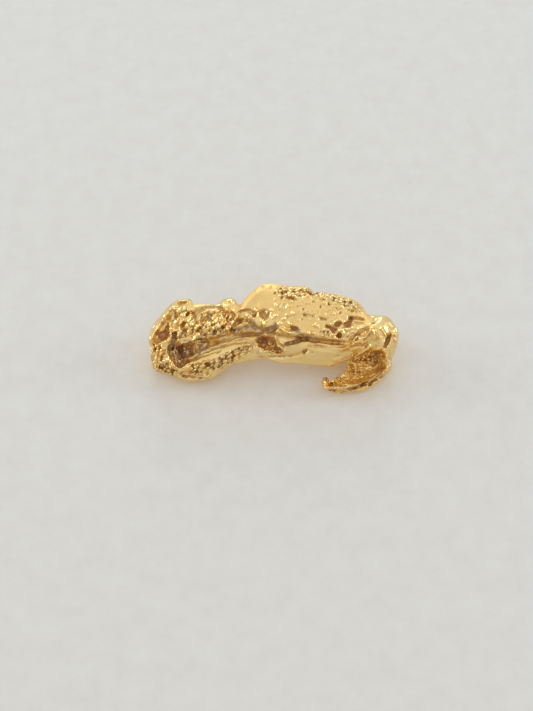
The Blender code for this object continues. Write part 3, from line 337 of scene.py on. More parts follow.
# the same as RIDGES
THREADS = [
    ("rim nick a", -0.08, 0.05, [(-5.57, 1.73), (-5.41, 1.59)]),
    ("rim nick b", -0.12, 0.07, [(-5.78, 1.16), (-5.57, 1.32), (-5.30, 1.46)]),
    ("rim nick c", -0.08, 0.05, [(-5.95, 1.27), (-5.73, 1.35)]),
    ("rim shelf", 0.07, 0.09, [(-5.46, 1.73), (-5.24, 1.65), (-5.19, 1.41), (-5.24, 1.14)]),
    ("head slit", -0.10, 0.06, [(-4.95, 0.65), (-4.86, 0.86), (-4.70, 1.05)]),
    ("head streak", 0.08, 0.08, [(-5.05, 1.62), (-5.03, 1.24), (-5.08, 0.86)]),
    ("rib shade", -0.06, 0.11, [(-5.30, 1.03), (-5.24, 0.65), (-5.30, 0.38)]),
    ("fold edge", -0.10, 0.06, [(-2.27, 1.54), (-2.14, 1.35), (-2.22, 1.16), (-2.43, 1.00)]),
    ("fold edge low", -0.09, 0.06, [(-2.81, 0.65), (-2.59, 0.86), (-2.32, 0.92)]),
    ("hollow bead row", 0.07, 0.08, [(-3.70, 1.46), (-3.68, 1.19)]),
    ("furrow wall a", -0.12, 0.08, [(-5.11, -0.22), (-5.00, -0.54), (-5.16, -0.92)]),
    ("furrow wall c", -0.12, 0.09, [(-4.54, -0.16), (-4.68, -0.49), (-4.49, -0.73)]),
    ("furrow wall e", -0.10, 0.08, [(-3.95, 0.05), (-3.78, -0.16), (-4.00, -0.41)]),
    ("furrow step a", -0.10, 0.06, [(-3.35, 0.03), (-3.08, 0.16), (-2.70, 0.27), (-2.43, 0.24),
     (-2.22, 0.38)]),
    ("furrow step b", -0.09, 0.06, [(-3.14, -0.19), (-2.81, -0.05), (-2.27, 0.08), (-1.84, 0.16),
     (-1.30, 0.30), (-0.65, 0.32)]),
    ("furrow step c", -0.08, 0.06, [(-3.84, -0.41), (-3.51, -0.27), (-3.08, -0.14)]),
    ("furrow step d", -0.08, 0.06, [(-3.35, -0.51), (-2.97, -0.41), (-2.59, -0.27), (-2.11, -0.16),
     (-1.51, -0.08)]),
    ("furrow step e", -0.09, 0.06, [(-4.32, -0.92), (-4.05, -0.76), (-3.73, -0.62), (-3.35, -0.54)]),
    ("furrow step f", -0.07, 0.06, [(-4.76, -1.05), (-4.38, -1.03), (-3.89, -0.86), (-3.35, -0.73),
     (-2.92, -0.59)]),
    ("furrow step g", -0.06, 0.05, [(-2.49, -0.08), (-1.95, 0.00), (-1.41, 0.05)]),
    ("furrow sheen a", 0.05, 0.08, [(-3.68, -0.19), (-3.24, -0.05), (-2.81, 0.08)]),
    ("furrow sheen b", 0.05, 0.08, [(-4.00, -0.65), (-3.57, -0.49), (-3.14, -0.32), (-2.59, -0.14)]),
    ("lip thread", 0.06, 0.06, [(-4.76, -1.32), (-4.27, -1.14), (-3.73, -0.92), (-3.19, -0.73)]),
    ("neck crease a", -0.10, 0.06, [(-1.84, 1.54), (-1.51, 1.61), (-1.24, 1.61), (-0.97, 1.41)]),
    ("neck crease b", -0.08, 0.06, [(-2.05, 0.97), (-1.78, 1.08), (-1.46, 1.08)]),
    ("neck crease c", -0.09, 0.06, [(-2.22, 0.38), (-1.89, 0.49), (-1.51, 0.51)]),
    ("notch side a", -0.07, 0.06, [(-0.76, 1.54), (-0.65, 1.30), (-0.51, 1.11)]),
    ("notch side b", -0.06, 0.06, [(-0.24, 1.57), (-0.30, 1.30), (-0.46, 1.11)]),
    ("slab bead seam a", -0.07, 0.06, [(0.35, 0.51), (0.59, 0.34), (1.03, 0.24)]),
    ("slab bead seam b", -0.06, 0.06, [(0.59, 0.78), (0.78, 0.59), (0.92, 0.46)]),
    ("slab streak a", 0.08, 0.08, [(0.78, 1.00), (0.89, 0.65)]),
    ("slab streak b", 0.08, 0.07, [(0.89, 0.19), (1.14, 0.05)]),
    ("wedge thread", 0.06, 0.06, [(0.38, -0.30), (0.86, -0.27), (1.41, -0.16)]),
    ("belly line a", -0.06, 0.06, [(1.89, -0.27), (2.38, -0.21), (2.92, -0.32)]),
    ("belly line b", -0.06, 0.06, [(2.00, -0.62), (2.11, -0.70)]),
    ("belly line c", -0.05, 0.06, [(2.49, -0.41), (3.03, -0.46), (3.57, -0.32)]),
    ("belly line d", -0.05, 0.08, [(2.11, -0.38), (2.65, -0.54), (3.24, -0.59)]),
    ("belly nick", -0.06, 0.07, [(3.30, -0.89), (3.46, -0.81)]),
    ("plate slit a", -0.12, 0.06, [(2.49, 1.17), (2.78, 1.11)]),
    ("plate slit b", -0.12, 0.07, [(2.81, 0.76), (3.08, 0.61)]),
    ("plate slit c", -0.10, 0.06, [(2.89, 0.49), (2.92, 0.27)]),
    ("plate slit d", -0.10, 0.06, [(4.11, 0.97), (4.43, 0.89), (4.76, 0.92)]),
    ("plate slit e", -0.07, 0.05, [(1.89, 1.32), (2.14, 1.24)]),
    ("plate slit f", -0.07, 0.05, [(1.24, 1.81), (1.46, 1.81)]),
    ("plate slit g", -0.06, 0.05, [(3.35, 1.73), (3.46, 1.62), (3.62, 1.68)]),
    ("plate rim a", 0.08, 0.08, [(3.73, 0.97), (3.76, 0.65), (3.95, 0.57), (4.16, 0.65)]),
    ("plate rim b", 0.07, 0.08, [(3.08, 1.08), (3.14, 0.81), (3.30, 1.00), (3.51, 1.05)]),
    ("bend rib b", 0.15, 0.08, [(4.59, 0.14), (4.81, 0.38)]),
    ("bend rib c", 0.17, 0.08, [(4.89, 0.11), (5.05, 0.35), (5.19, 0.51)]),
    ("bend rib d", 0.12, 0.07, [(4.30, 0.00), (4.43, 0.19)]),
    ("bend crease b", -0.11, 0.06, [(4.76, -0.03), (4.97, 0.08), (5.11, 0.27)]),
    ("bend crease c", -0.09, 0.06, [(4.38, 0.00), (4.54, 0.16), (4.65, 0.11)]),
    ("bend crease d", -0.10, 0.06, [(5.24, 0.86), (5.46, 0.89)]),
    ("bend crease e", -0.08, 0.06, [(5.24, 1.30), (5.43, 1.16), (5.57, 1.03)]),
    ("bend streak a", 0.18, 0.09, [(5.81, 0.62), (5.92, 0.43), (6.05, 0.22)]),
    ("bend streak b", 0.15, 0.09, [(6.32, 0.51), (6.39, 0.30)]),
    ("bend streak c", 0.12, 0.09, [(5.35, 0.54), (5.41, 0.11)]),
    ("bend streak d", 0.11, 0.09, [(5.73, 0.11), (5.76, -0.22)]),
    ("bend streak e", 0.10, 0.10, [(5.92, -0.11), (5.84, -0.43)]),
    ("bend streak f", 0.10, 0.08, [(5.11, 0.05), (5.14, -0.27)]),
    ("bend groove a", -0.07, 0.08, [(5.51, 0.65), (5.57, 0.11), (5.51, -0.32)]),
    ("bend groove b", -0.09, 0.08, [(6.51, 0.59), (6.57, 0.11), (6.49, -0.43)]),
    ("bend groove c", -0.06, 0.08, [(6.22, -0.65), (6.43, -0.54)]),
    ("heel line", -0.08, 0.07, [(6.27, -0.54), (6.32, -0.86), (6.22, -1.14)]),
    ("white ridge", 0.10, 0.08, [(3.70, -0.49), (3.97, -0.39)]),
    ("hook crease a", -0.12, 0.07, [(4.22, -2.30), (4.59, -2.24), (4.97, -2.14)]),
    ("hook crease b", -0.12, 0.08, [(3.08, -2.38), (3.46, -2.45), (3.89, -2.38)]),
    ("hook crease c", -0.09, 0.07, [(4.65, -1.78), (5.08, -1.70), (5.51, -1.62)]),
    ("hook rib a", 0.09, 0.09, [(4.76, -1.49), (5.03, -1.54), (5.30, -1.46)]),
    ("hook rib b", 0.09, 0.08, [(3.30, -2.14), (3.57, -2.08), (3.84, -2.14)]),
    ("hook rib c", 0.07, 0.08, [(4.11, -1.95), (4.49, -2.00), (4.86, -1.92)]),
    ("hook wall a", -0.10, 0.07, [(4.27, -1.30), (4.38, -1.68), (4.22, -2.00)]),
    ("hook wall b", -0.08, 0.07, [(4.59, -1.35), (4.70, -1.68)]),
    ("rim seam", -0.13, 0.06, [(5.14, -2.11), (5.41, -2.00), (5.78, -1.84)]),
    ("rim thread", 0.13, 0.07, [(3.89, -2.59), (4.22, -2.51), (4.54, -2.38), (4.97, -2.19)]),
    ("leaf groove a", -0.12, 0.07, [(4.11, -2.76), (4.32, -2.67), (4.70, -2.51), (5.03, -2.30)]),
    ("leaf groove b", -0.14, 0.08, [(5.22, -2.46), (5.35, -2.24), (5.62, -2.08), (5.86, -1.99)]),
    ("groove thread", 0.10, 0.06, [(5.03, -2.59), (5.19, -2.24), (5.51, -2.03), (5.95, -1.76)]),
    ("plate edge lift", 0.13, 0.27, [(-1.57, 1.78), (-1.35, 2.16), (-0.97, 2.54)]),
    ("overhang fill", 0.15, 0.18, [(1.35, 0.08), (1.89, 0.08)]),
    ("belly right lift", 0.15, 0.24, [(3.46, -1.14), (4.11, -0.95), (4.76, -0.73), (5.19, -0.54)]),
    ("furrow fill", 0.34, 0.22, [(-5.19, -0.70), (-4.86, -0.54), (-4.43, -0.43), (-4.00, -0.27)]),
    ("leaf low seam", -0.12, 0.07, [(3.03, -2.72), (3.41, -2.80), (3.89, -2.79)]),
    ("leaf low thread", 0.05, 0.06, [(4.05, -2.73), (4.65, -2.64), (5.19, -2.49)]),
    ("foot thread", 0.06, 0.06, [(-4.92, -2.09), (-4.49, -2.14), (-4.00, -2.14)]),
    ("end slit", -0.12, 0.05, [(-6.11, -1.08), (-5.99, -0.81), (-5.86, -0.62)]),
    ("end rib", 0.09, 0.07, [(-6.00, -1.14), (-5.89, -0.81), (-5.78, -0.59)]),
    ("end curl", 0.09, 0.08, [(-5.97, -1.16), (-5.78, -1.10), (-5.62, -1.24), (-5.57, -1.46)]),
    ("end crease", -0.08, 0.06, [(-5.84, -1.30), (-5.73, -1.46), (-5.62, -1.62)]),
    ("end nick", -0.08, 0.06, [(-6.57, -0.54), (-6.41, -0.49)]),
    ("channel lip left", 0.08, 0.09, [(-5.51, -1.19), (-5.24, -1.51), (-4.86, -1.43)]),
    ("end rib low", 0.07, 0.08, [(-5.57, -1.57), (-5.35, -1.49), (-5.24, -1.62)]),
    ("crust seam a", -0.12, 0.07, [(0.38, 2.70), (0.49, 2.43), (0.41, 2.24)]),
    ("crust seam b", -0.10, 0.06, [(0.49, 2.30), (0.81, 2.24), (1.03, 2.27)]),
    ("crust seam c", -0.10, 0.06, [(1.41, 2.70), (1.73, 2.59), (2.05, 2.54)]),
    ("crust seam d", -0.10, 0.06, [(2.22, 2.59), (2.49, 2.51), (2.70, 2.54)]),
]

# the same as PITS
DOTS = [
    ("head dot", -4.69, 1.39, 0.11, 0.09, 40, 0.16),
    ("fold recess a", -2.84, 1.65, 0.12, 0.15, 20, 0.05),
    ("fold recess b", -2.57, 1.30, 0.19, 0.14, -30, 0.05),
    ("bump dot", -2.42, 2.06, 0.11, 0.07, 10, 0.12),
    ("neck dot a", -1.08, 1.30, 0.13, 0.10, 10, 0.14),
    ("neck dot b", -1.32, 1.46, 0.09, 0.07, 0, 0.10),
    ("slab dot a", -0.62, 2.86, 0.14, 0.07, 10, 0.08),
    ("slab dot b", -0.15, 2.86, 0.07, 0.13, -10, 0.08),
    ("plate dot a", 1.68, 1.35, 0.10, 0.08, 0, 0.13),
    ("plate dot b", 2.97, 1.93, 0.08, 0.06, 0, 0.12),
    ("plate dot c", 3.58, 1.46, 0.08, 0.06, 30, 0.12),
    ("plate dot d", 4.23, 1.55, 0.11, 0.09, -20, 0.14),
    ("plate dot e", 4.03, 1.59, 0.07, 0.06, 0, 0.10),
    ("plate dot f", 4.12, 2.02, 0.09, 0.07, 0, 0.12),
    ("plate dot g", 2.51, 1.78, 0.05, 0.08, 0, 0.09),
    ("plate dot h", 1.59, 1.65, 0.06, 0.05, 0, 0.09),
    ("plate dot i", 3.54, 0.25, 0.12, 0.11, 10, 0.20),
    ("plate dot j", 3.95, 0.16, 0.07, 0.06, 0, 0.10),
    ("plate dot k", 3.11, 0.97, 0.09, 0.06, -30, 0.10),
    ("plate dot l", 3.81, 1.84, 0.06, 0.05, 0, 0.08),
    ("plate dot m", 2.11, 2.05, 0.06, 0.05, 0, 0.08),
    ("plate dot n", 3.24, 2.27, 0.08, 0.05, 0, 0.09),
    ("plate dot o", 2.68, 2.19, 0.09, 0.06, 20, 0.11),
    ("plate dot p", 1.49, 1.08, 0.08, 0.05, 0, 0.07),
    ("plate dot q", 4.43, 1.51, 0.05, 0.05, 0, 0.08),
    ("plate dot r", 2.86, 0.11, 0.08, 0.06, 0, 0.08),
    ("crust pit a", 0.57, 2.54, 0.16, 0.13, -40, 0.10),
    ("crust pit b", 1.08, 2.65, 0.14, 0.11, 20, 0.08),
    ("crust pit c", 1.51, 2.68, 0.16, 0.10, 0, 0.08),
    ("crust pit d", 1.89, 2.62, 0.14, 0.10, -10, 0.08),
    ("crust pit e", 0.76, 2.30, 0.17, 0.07, -8, 0.03),
    ("crust pit f", 2.35, 2.58, 0.12, 0.08, -15, 0.10),
    ("crust pit g", 1.11, 2.22, 0.09, 0.08, 0, 0.13),
    ("crust pit h", 0.08, 2.51, 0.10, 0.08, 0, 0.10),
    ("crust pit i", 1.68, 2.41, 0.10, 0.06, -30, 0.09),
    ("end dot a", -6.47, -0.51, 0.11, 0.08, 20, 0.13),
    ("end dot b", -6.51, -0.78, 0.09, 0.11, 0, 0.12),
    ("end dot c", -5.93, -1.70, 0.09, 0.06, 10, 0.12),
    ("end dot d", -6.05, -0.62, 0.10, 0.06, 30, 0.10),
    ("head dot b", -4.43, 0.35, 0.10, 0.06, 30, 0.12),
    ("head dot c", -4.81, 0.27, 0.08, 0.05, 40, 0.10),
    ("head dot d", -4.00, 0.70, 0.08, 0.06, 60, 0.10),
    ("head dot e", -5.19, 0.70, 0.09, 0.12, 0, 0.08),
    ("head dot f", -4.16, 0.49, 0.07, 0.05, 0, 0.09),
    ("recess pit a", -0.65, 0.05, 0.19, 0.14, -10, 0.06),
    ("recess pit b", -0.05, -0.08, 0.18, 0.13, -25, 0.05),
    ("recess pit c", 0.27, -0.59, 0.18, 0.12, -25, 0.08),
    ("hook pit a", 4.49, -1.08, 0.17, 0.14, 10, 0.10),
    ("hook pit b", 5.08, -1.16, 0.15, 0.11, 0, 0.08),
    ("hook pit c", 5.62, -1.16, 0.14, 0.11, 0, 0.08),
    ("hook pit d", 5.30, -0.92, 0.14, 0.11, 20, 0.06),
    ("hook pit e", 4.81, -0.89, 0.12, 0.09, 0, 0.06),
    ("hook pit f", 3.24, -2.42, 0.16, 0.09, -10, 0.16),
    ("bend dot", 5.59, -0.68, 0.09, 0.07, 0, 0.08),
    ("rim dot", 6.11, -1.19, 0.08, 0.06, 0, 0.08),
    ("belly dot", 1.68, -0.64, 0.11, 0.08, 30, 0.08),
]

# the same as BEADS
SMALL_BEADS = [
    (-6.44, 0.41, 0.18, 0.30, -30, 0.24), (-5.65, 1.73, 0.16, 0.22, -40, 0.20),
    (-6.05, 1.08, 0.19, 0.14, 40, 0.18), (-6.58, 0.08, 0.15, 0.19, -15, 0.20),
    (-2.57, 1.64, 0.27, 0.16, -40, 0.18), (-5.41, 1.68, 0.18, 0.15, 30, 0.18),
    (-5.03, 1.43, 0.09, 0.14, 0, 0.082), (-4.70, 0.78, 0.08, 0.13, -20, 0.077),
    (-4.54, 1.00, 0.08, 0.12, -20, 0.077), (-4.41, 0.65, 0.09, 0.12, -20, 0.082),
    (-5.16, 0.22, 0.08, 0.12, 0, 0.072), (-5.11, 0.00, 0.12, 0.09, 30, 0.082),
    (-4.89, 0.08, 0.10, 0.08, 20, 0.072), (-4.51, -0.05, 0.13, 0.08, 30, 0.072),
    (-4.19, 0.14, 0.11, 0.07, 30, 0.067), (-3.84, 0.22, 0.08, 0.12, -25, 0.072),
    (-3.81, 0.59, 0.08, 0.11, -20, 0.072), (-3.65, 0.84, 0.07, 0.11, -30, 0.067),
    (-3.30, 0.89, 0.09, 0.11, -20, 0.082), (-3.03, 0.68, 0.11, 0.08, 40, 0.072),
    (-4.05, 1.68, 0.14, 0.08, 10, 0.075), (-4.22, 1.81, 0.17, 0.09, -5, 0.062),
    (-2.54, 0.70, 0.12, 0.07, 50, 0.067), (-3.78, 1.38, 0.07, 0.14, -10, 0.067),
    (-3.46, 1.24, 0.09, 0.09, 0, 0.075), (-6.32, -0.65, 0.12, 0.16, 0, 0.10),
    (-6.27, -0.35, 0.09, 0.12, 0, 0.082), (-6.41, -1.16, 0.10, 0.13, -10, 0.092),
    (-6.27, -1.36, 0.10, 0.08, 0, 0.072), (-6.32, -0.95, 0.11, 0.13, 0, 0.10),
    (-6.46, -1.46, 0.08, 0.08, 0, 0.077), (-5.84, -1.78, 0.12, 0.07, 20, 0.067),
    (-5.65, -1.65, 0.09, 0.07, 30, 0.067), (-5.43, -1.59, 0.10, 0.06, 30, 0.062),
    (-5.05, -1.97, 0.11, 0.09, 0, 0.087), (-3.92, -2.03, 0.12, 0.09, -30, 0.082),
    (-3.57, -1.98, 0.11, 0.09, 30, 0.087), (-3.76, -1.88, 0.09, 0.08, 0, 0.072),
    (-4.24, -1.41, 0.10, 0.08, 20, 0.072), (-4.51, -1.43, 0.08, 0.06, 0, 0.062),
    (-3.84, -1.22, 0.07, 0.11, -10, 0.067), (-3.65, -1.41, 0.09, 0.06, 20, 0.062),
    (-3.32, -1.22, 0.08, 0.12, -10, 0.077), (-3.00, -1.27, 0.08, 0.11, -20, 0.077),
    (-3.19, -1.46, 0.09, 0.06, 10, 0.062), (-2.68, -0.92, 0.08, 0.07, 0, 0.067),
    (-2.54, -1.19, 0.16, 0.06, 35, 0.062), (-2.35, -1.00, 0.08, 0.09, 0, 0.072),
    (-2.78, -1.32, 0.09, 0.06, 20, 0.056), (-2.16, -0.73, 0.08, 0.07, 0, 0.067),
    (-1.89, -0.62, 0.09, 0.06, 10, 0.062), (-1.76, -0.86, 0.13, 0.06, 10, 0.062),
    (-2.00, -0.92, 0.11, 0.06, 20, 0.062), (-1.59, -0.51, 0.07, 0.06, 0, 0.056),
    (-2.97, -0.72, 0.09, 0.06, 0, 0.062), (-1.65, 1.68, 0.14, 0.08, 10, 0.077),
    (-0.15, 1.61, 0.14, 0.10, 0, 0.098), (-1.68, 1.22, 0.13, 0.08, 20, 0.072),
    (-0.41, 1.03, 0.11, 0.08, 0, 0.072), (-0.70, -0.66, 0.10, 0.08, 0, 0.077),
    (-0.46, -0.62, 0.08, 0.07, 0, 0.067), (-0.24, -0.80, 0.14, 0.06, 0, 0.062),
    (0.30, -0.78, 0.13, 0.06, 10, 0.062), (-0.78, -0.41, 0.08, 0.06, 0, 0.062),
    (-0.32, -0.46, 0.11, 0.08, -20, 0.072), (-0.05, -0.54, 0.09, 0.07, 0, 0.067),
    (0.09, 1.89, 0.12, 0.11, 0, 0.10), (0.70, 1.81, 0.10, 0.15, -10, 0.098),
    (0.42, 1.78, 0.14, 0.10, 10, 0.092), (0.11, 1.32, 0.14, 0.11, 20, 0.11),
    (0.73, 1.35, 0.13, 0.11, 10, 0.10), (0.51, 1.14, 0.15, 0.11, -10, 0.10),
    (1.00, 1.46, 0.12, 0.11, 0, 0.11), (-0.05, 1.19, 0.09, 0.11, -30, 0.082),
    (0.07, 2.18, 0.12, 0.10, 0, 0.064), (1.49, 1.49, 0.11, 0.07, 10, 0.067),
    (2.76, 1.41, 0.09, 0.08, 0, 0.077), (2.57, 1.49, 0.06, 0.06, 0, 0.056),
    (3.70, 1.79, 0.13, 0.08, 20, 0.072), (2.81, 1.97, 0.10, 0.08, 30, 0.077),
    (3.24, 1.46, 0.08, 0.06, 0, 0.062), (0.30, 0.89, 0.15, 0.14, 0, 0.13),
    (0.54, 0.68, 0.17, 0.11, 30, 0.11), (0.83, 0.84, 0.11, 0.18, -25, 0.11),
    (0.41, 0.57, 0.14, 0.11, -30, 0.10), (0.84, 0.43, 0.15, 0.10, 0, 0.092),
    (1.03, 0.11, 0.14, 0.07, -30, 0.067), (2.39, 0.24, 0.07, 0.15, 0, 0.067),
    (2.16, 0.81, 0.11, 0.09, 20, 0.075), (2.38, 0.70, 0.09, 0.08, 0, 0.072),
    (3.11, 0.95, 0.06, 0.13, 0, 0.062), (3.30, 0.97, 0.08, 0.07, 0, 0.067),
    (3.69, 0.95, 0.07, 0.10, 0, 0.067), (3.68, 0.51, 0.10, 0.10, 0, 0.092),
    (2.96, 0.51, 0.07, 0.12, 0, 0.067), (4.54, 0.15, 0.08, 0.11, 0, 0.072),
    (4.41, 0.62, 0.13, 0.07, 10, 0.062), (4.73, 0.30, 0.12, 0.07, 45, 0.067),
    (5.08, -0.11, 0.05, 0.15, 0, 0.051), (4.51, 1.70, 0.09, 0.08, 0, 0.077),
    (4.27, 1.97, 0.08, 0.06, 0, 0.062), (4.70, 1.84, 0.08, 0.06, 0, 0.062),
    (3.97, 2.00, 0.09, 0.08, 0, 0.072), (4.43, 1.92, 0.07, 0.06, 0, 0.062),
    (4.57, 1.30, 0.11, 0.06, 0, 0.056), (0.57, 2.69, 0.12, 0.08, 0, 0.077),
    (0.92, 2.78, 0.13, 0.07, 0, 0.067), (1.24, 2.76, 0.11, 0.07, 0, 0.067),
    (1.32, 2.30, 0.15, 0.09, 20, 0.072), (1.03, 2.08, 0.16, 0.08, 10, 0.064),
    (1.49, 2.16, 0.09, 0.07, 0, 0.064), (1.70, 2.70, 0.09, 0.07, 0, 0.067),
    (1.84, 2.38, 0.11, 0.06, 30, 0.056), (0.86, 2.46, 0.09, 0.07, 0, 0.067),
    (0.24, 2.81, 0.16, 0.11, 20, 0.048), (2.00, 2.73, 0.09, 0.07, 0, 0.064),
    (2.54, 2.35, 0.08, 0.06, 0, 0.062), (2.97, 2.46, 0.09, 0.06, 0, 0.056),
    (3.30, 2.41, 0.08, 0.06, 0, 0.056), (2.24, 2.32, 0.09, 0.07, 0, 0.048),
    (1.62, 2.27, 0.09, 0.06, 0, 0.056), (5.41, 1.22, 0.12, 0.07, -30, 0.067),
    (5.95, 1.11, 0.14, 0.05, -25, 0.051), (5.54, 1.08, 0.09, 0.06, 0, 0.062),
    (6.37, 0.43, 0.10, 0.14, -20, 0.098), (6.22, -0.62, 0.10, 0.08, 10, 0.072),
    (6.11, -0.30, 0.06, 0.09, 0, 0.062), (6.43, -0.81, 0.08, 0.16, 10, 0.062),
    (4.65, -0.97, 0.09, 0.06, 20, 0.062), (5.03, -0.95, 0.09, 0.06, 0, 0.062),
    (4.97, -1.24, 0.11, 0.07, 10, 0.067), (5.38, -1.11, 0.09, 0.06, 0, 0.062),
    (4.81, -1.14, 0.08, 0.06, 0, 0.056), (5.24, -0.81, 0.09, 0.06, 0, 0.056),
    (5.78, -0.97, 0.09, 0.07, 0, 0.067), (5.95, -1.35, 0.10, 0.08, 20, 0.072),
    (4.92, -1.51, 0.12, 0.06, 10, 0.062), (4.22, -2.11, 0.13, 0.10, 10, 0.092),
    (3.75, -2.16, 0.09, 0.09, 0, 0.082), (3.38, -2.10, 0.10, 0.08, 0, 0.077),
    (3.95, -1.95, 0.10, 0.08, 0, 0.077), (3.49, -2.38, 0.10, 0.06, 10, 0.062),
    (4.22, -1.57, 0.09, 0.07, 0, 0.067), (1.91, 0.36, 0.12, 0.18, 0, 0.056),
    (2.13, 0.34, 0.11, 0.17, 0, 0.056), (2.63, 0.23, 0.15, 0.12, 20, 0.056),
    (3.31, 0.08, 0.23, 0.15, -45, 0.062), (2.27, 0.79, 0.16, 0.14, 10, 0.056),
    (0.59, 0.50, 0.26, 0.12, -32, 0.056), (-1.03, 1.63, 0.17, 0.12, -40, 0.056),
    (-2.01, 1.23, 0.23, 0.12, 50, 0.056), (4.22, -0.24, 0.15, 0.12, 20, 0.056),
    (-0.57, 0.73, 0.10, 0.21, 0, 0.056), (3.92, -0.45, 0.21, 0.10, 20, 0.056),
    (5.89, -1.62, 0.25, 0.12, 32, 0.05), (6.22, -1.68, 0.10, 0.06, 40, 0.062),
    (6.08, -1.92, 0.09, 0.05, 40, 0.051), (4.97, -2.61, 0.10, 0.06, 20, 0.062),
    (4.54, -2.76, 0.09, 0.05, 10, 0.051), (3.92, -2.72, 0.07, 0.05, 0, 0.051),
    (2.72, -2.41, 0.08, 0.09, 0, 0.072),
]

# name, path of (along, up), half width, grain size, stretch, turn in degrees, height
GRAIN_ZONES = [
    ("head", [(-5.03, 1.30), (-4.43, 0.97), (-3.46, 1.03), (-2.81, 1.19)], 0.59, 0.27, 2, 58, 0.17),
    ("head low", [(-5.19, 0.27), (-4.27, 0.43), (-3.57, 0.70),
     (-2.81, 0.70)], 0.35, 0.25, 1.8, 50, 0.17),
    ("band", [(-4.32, -1.59), (-3.84, -1.49), (-3.35, -1.38), (-2.81, -1.16), (-2.27, -0.92),
     (-1.78, -0.65), (-1.41, -0.49)], 0.32, 0.24, 1.5, 35, 0.27),
    ("end block", [(-6.38, -0.54), (-6.32, -1.03), (-6.16, -1.46),
     (-5.62, -1.68)], 0.41, 0.25, 1.6, 72, 0.24),
    ("end floor", [(-5.51, -1.84), (-4.54, -2.05), (-3.57, -1.95)], 0.22, 0.23, 1.8, 5, 0.14),
    ("crust", [(0.43, 2.65), (1.14, 2.54), (2.00, 2.65)], 0.35, 0.19, 1.2, 10, 0.13),
    ("crust right", [(2.27, 2.51), (3.03, 2.35), (3.84, 2.08), (4.43, 1.89),
     (4.76, 1.68)], 0.24, 0.19, 1.2, -20, 0.11),
    ("plate right", [(2.70, 0.38), (3.57, 0.38), (4.43, 0.16)], 0.27, 0.22, 1.5, 40, 0.10),
    ("hook head", [(4.32, -0.97), (4.97, -0.97), (5.73, -0.97)], 0.27, 0.18, 1.1, 0, 0.14),
    ("hook floor", [(4.22, -1.62), (5.08, -1.57), (5.95, -1.35)], 0.49, 0.17, 1.2, 10, 0.08),
    ("leaf edge", [(3.24, -2.27), (3.89, -2.11)], 0.27, 0.22, 1.2, 0, 0.09),
    ("recess", [(-0.65, -0.22), (-0.22, -0.43), (0.27, -0.59)], 0.35, 0.19, 1.3, -25, 0.12),
    ("furrow wall", [(-5.30, -0.54), (-4.54, -0.43), (-3.84, -0.05)], 0.35, 0.24, 1.5, 75, 0.19),
    ("furrow wall right", [(-3.78, 0.16), (-3.24, 0.38), (-2.70, 0.49),
     (-2.27, 0.54)], 0.22, 0.22, 1.5, 30, 0.15),
    ("furrow foot", [(-5.46, -0.49), (-5.35, -0.92), (-5.03, -1.24)], 0.19, 0.19, 1.3, 60, 0.11),
    ("plate flecks", [(0.65, 1.84), (1.41, 1.51), (2.81, 1.68),
     (4.11, 1.62)], 0.70, 0.17, 1.3, 20, 0.036),
    ("plate left", [(-1.08, 2.16), (-0.32, 1.84), (0.11, 1.19)], 0.49, 0.16, 1.2, 60, 0.012),
    ("neck", [(-2.43, 1.14), (-1.95, 0.92), (-1.51, 1.08), (-1.14, 1.41)], 0.27, 0.24, 1.5, 40, 0.09),
    ("rim", [(-6.65, -0.11), (-6.54, 0.32), (-6.22, 0.81), (-5.78, 1.46), (-5.35, 1.95),
     (-4.76, 2.11)], 0.23, 0.30, 1.9, 55, 0.08),
    ("rib", [(-5.51, 0.81), (-5.57, 0.00), (-5.78, -0.65)], 0.19, 0.24, 1.6, 80, 0.12),
    ("bend", [(5.30, 0.81), (5.51, 0.00), (6.38, 0.11), (6.49, -0.65)], 0.43, 0.30, 2, 80, 0.03),
    ("leaf", [(3.24, -2.62), (4.11, -2.54), (4.97, -2.27), (5.95, -1.73)], 0.22, 0.24, 2.4, 25, 0.09),
]

# where the metal is smooth: name, path, half width, share of the swells that is kept
CALM_ZONES = [
    ("plate", [(-0.97, 2.16), (0.11, 2.00), (1.41, 1.57), (2.81, 1.46), (4.22, 1.41)], 1.03, 0.22),
    ("plate edge", [(-1.84, 1.51), (-1.51, 2.16), (-0.97, 2.70), (-0.32, 3.03),
     (0.32, 3.08)], 0.32, 0.15),
    ("plate foot", [(0.43, 0.97), (1.41, 0.81), (2.38, 0.49)], 0.43, 0.3),
    ("head flat", [(-4.97, 1.78), (-4.11, 1.86), (-3.24, 1.92)], 0.22, 0.4),
    ("belly", [(0.86, -0.59), (2.38, -0.81), (3.68, -0.76)], 0.54, 0.45),
    ("furrow floor", [(-4.22, -0.92), (-3.14, -0.38), (-1.84, -0.05), (-0.97, 0.05)], 0.32, 0.45),
    ("neck top", [(-2.27, 1.84), (-1.30, 2.00)], 0.32, 0.4),
]

# notches in the outline: name, along, up, radius, push along, push up
NICKS = [
    ("knob notch", -6.69, -0.36, 0.12, 0.17, 0.00),
    ("crust notch", 2.21, 2.68, 0.11, 0.00, -0.12),
    ("head step", -4.41, 2.00, 0.11, 0.00, -0.04),
    ("leaf edge a", 3.95, -1.35, 0.11, 0.06, 0.00),
    ("leaf edge b", 3.84, -1.68, 0.10, 0.06, 0.00),
    ("leaf edge c", 3.62, -1.96, 0.10, 0.00, -0.06),
    ("tip gap", 2.97, -2.27, 0.10, 0.00, -0.09),
]

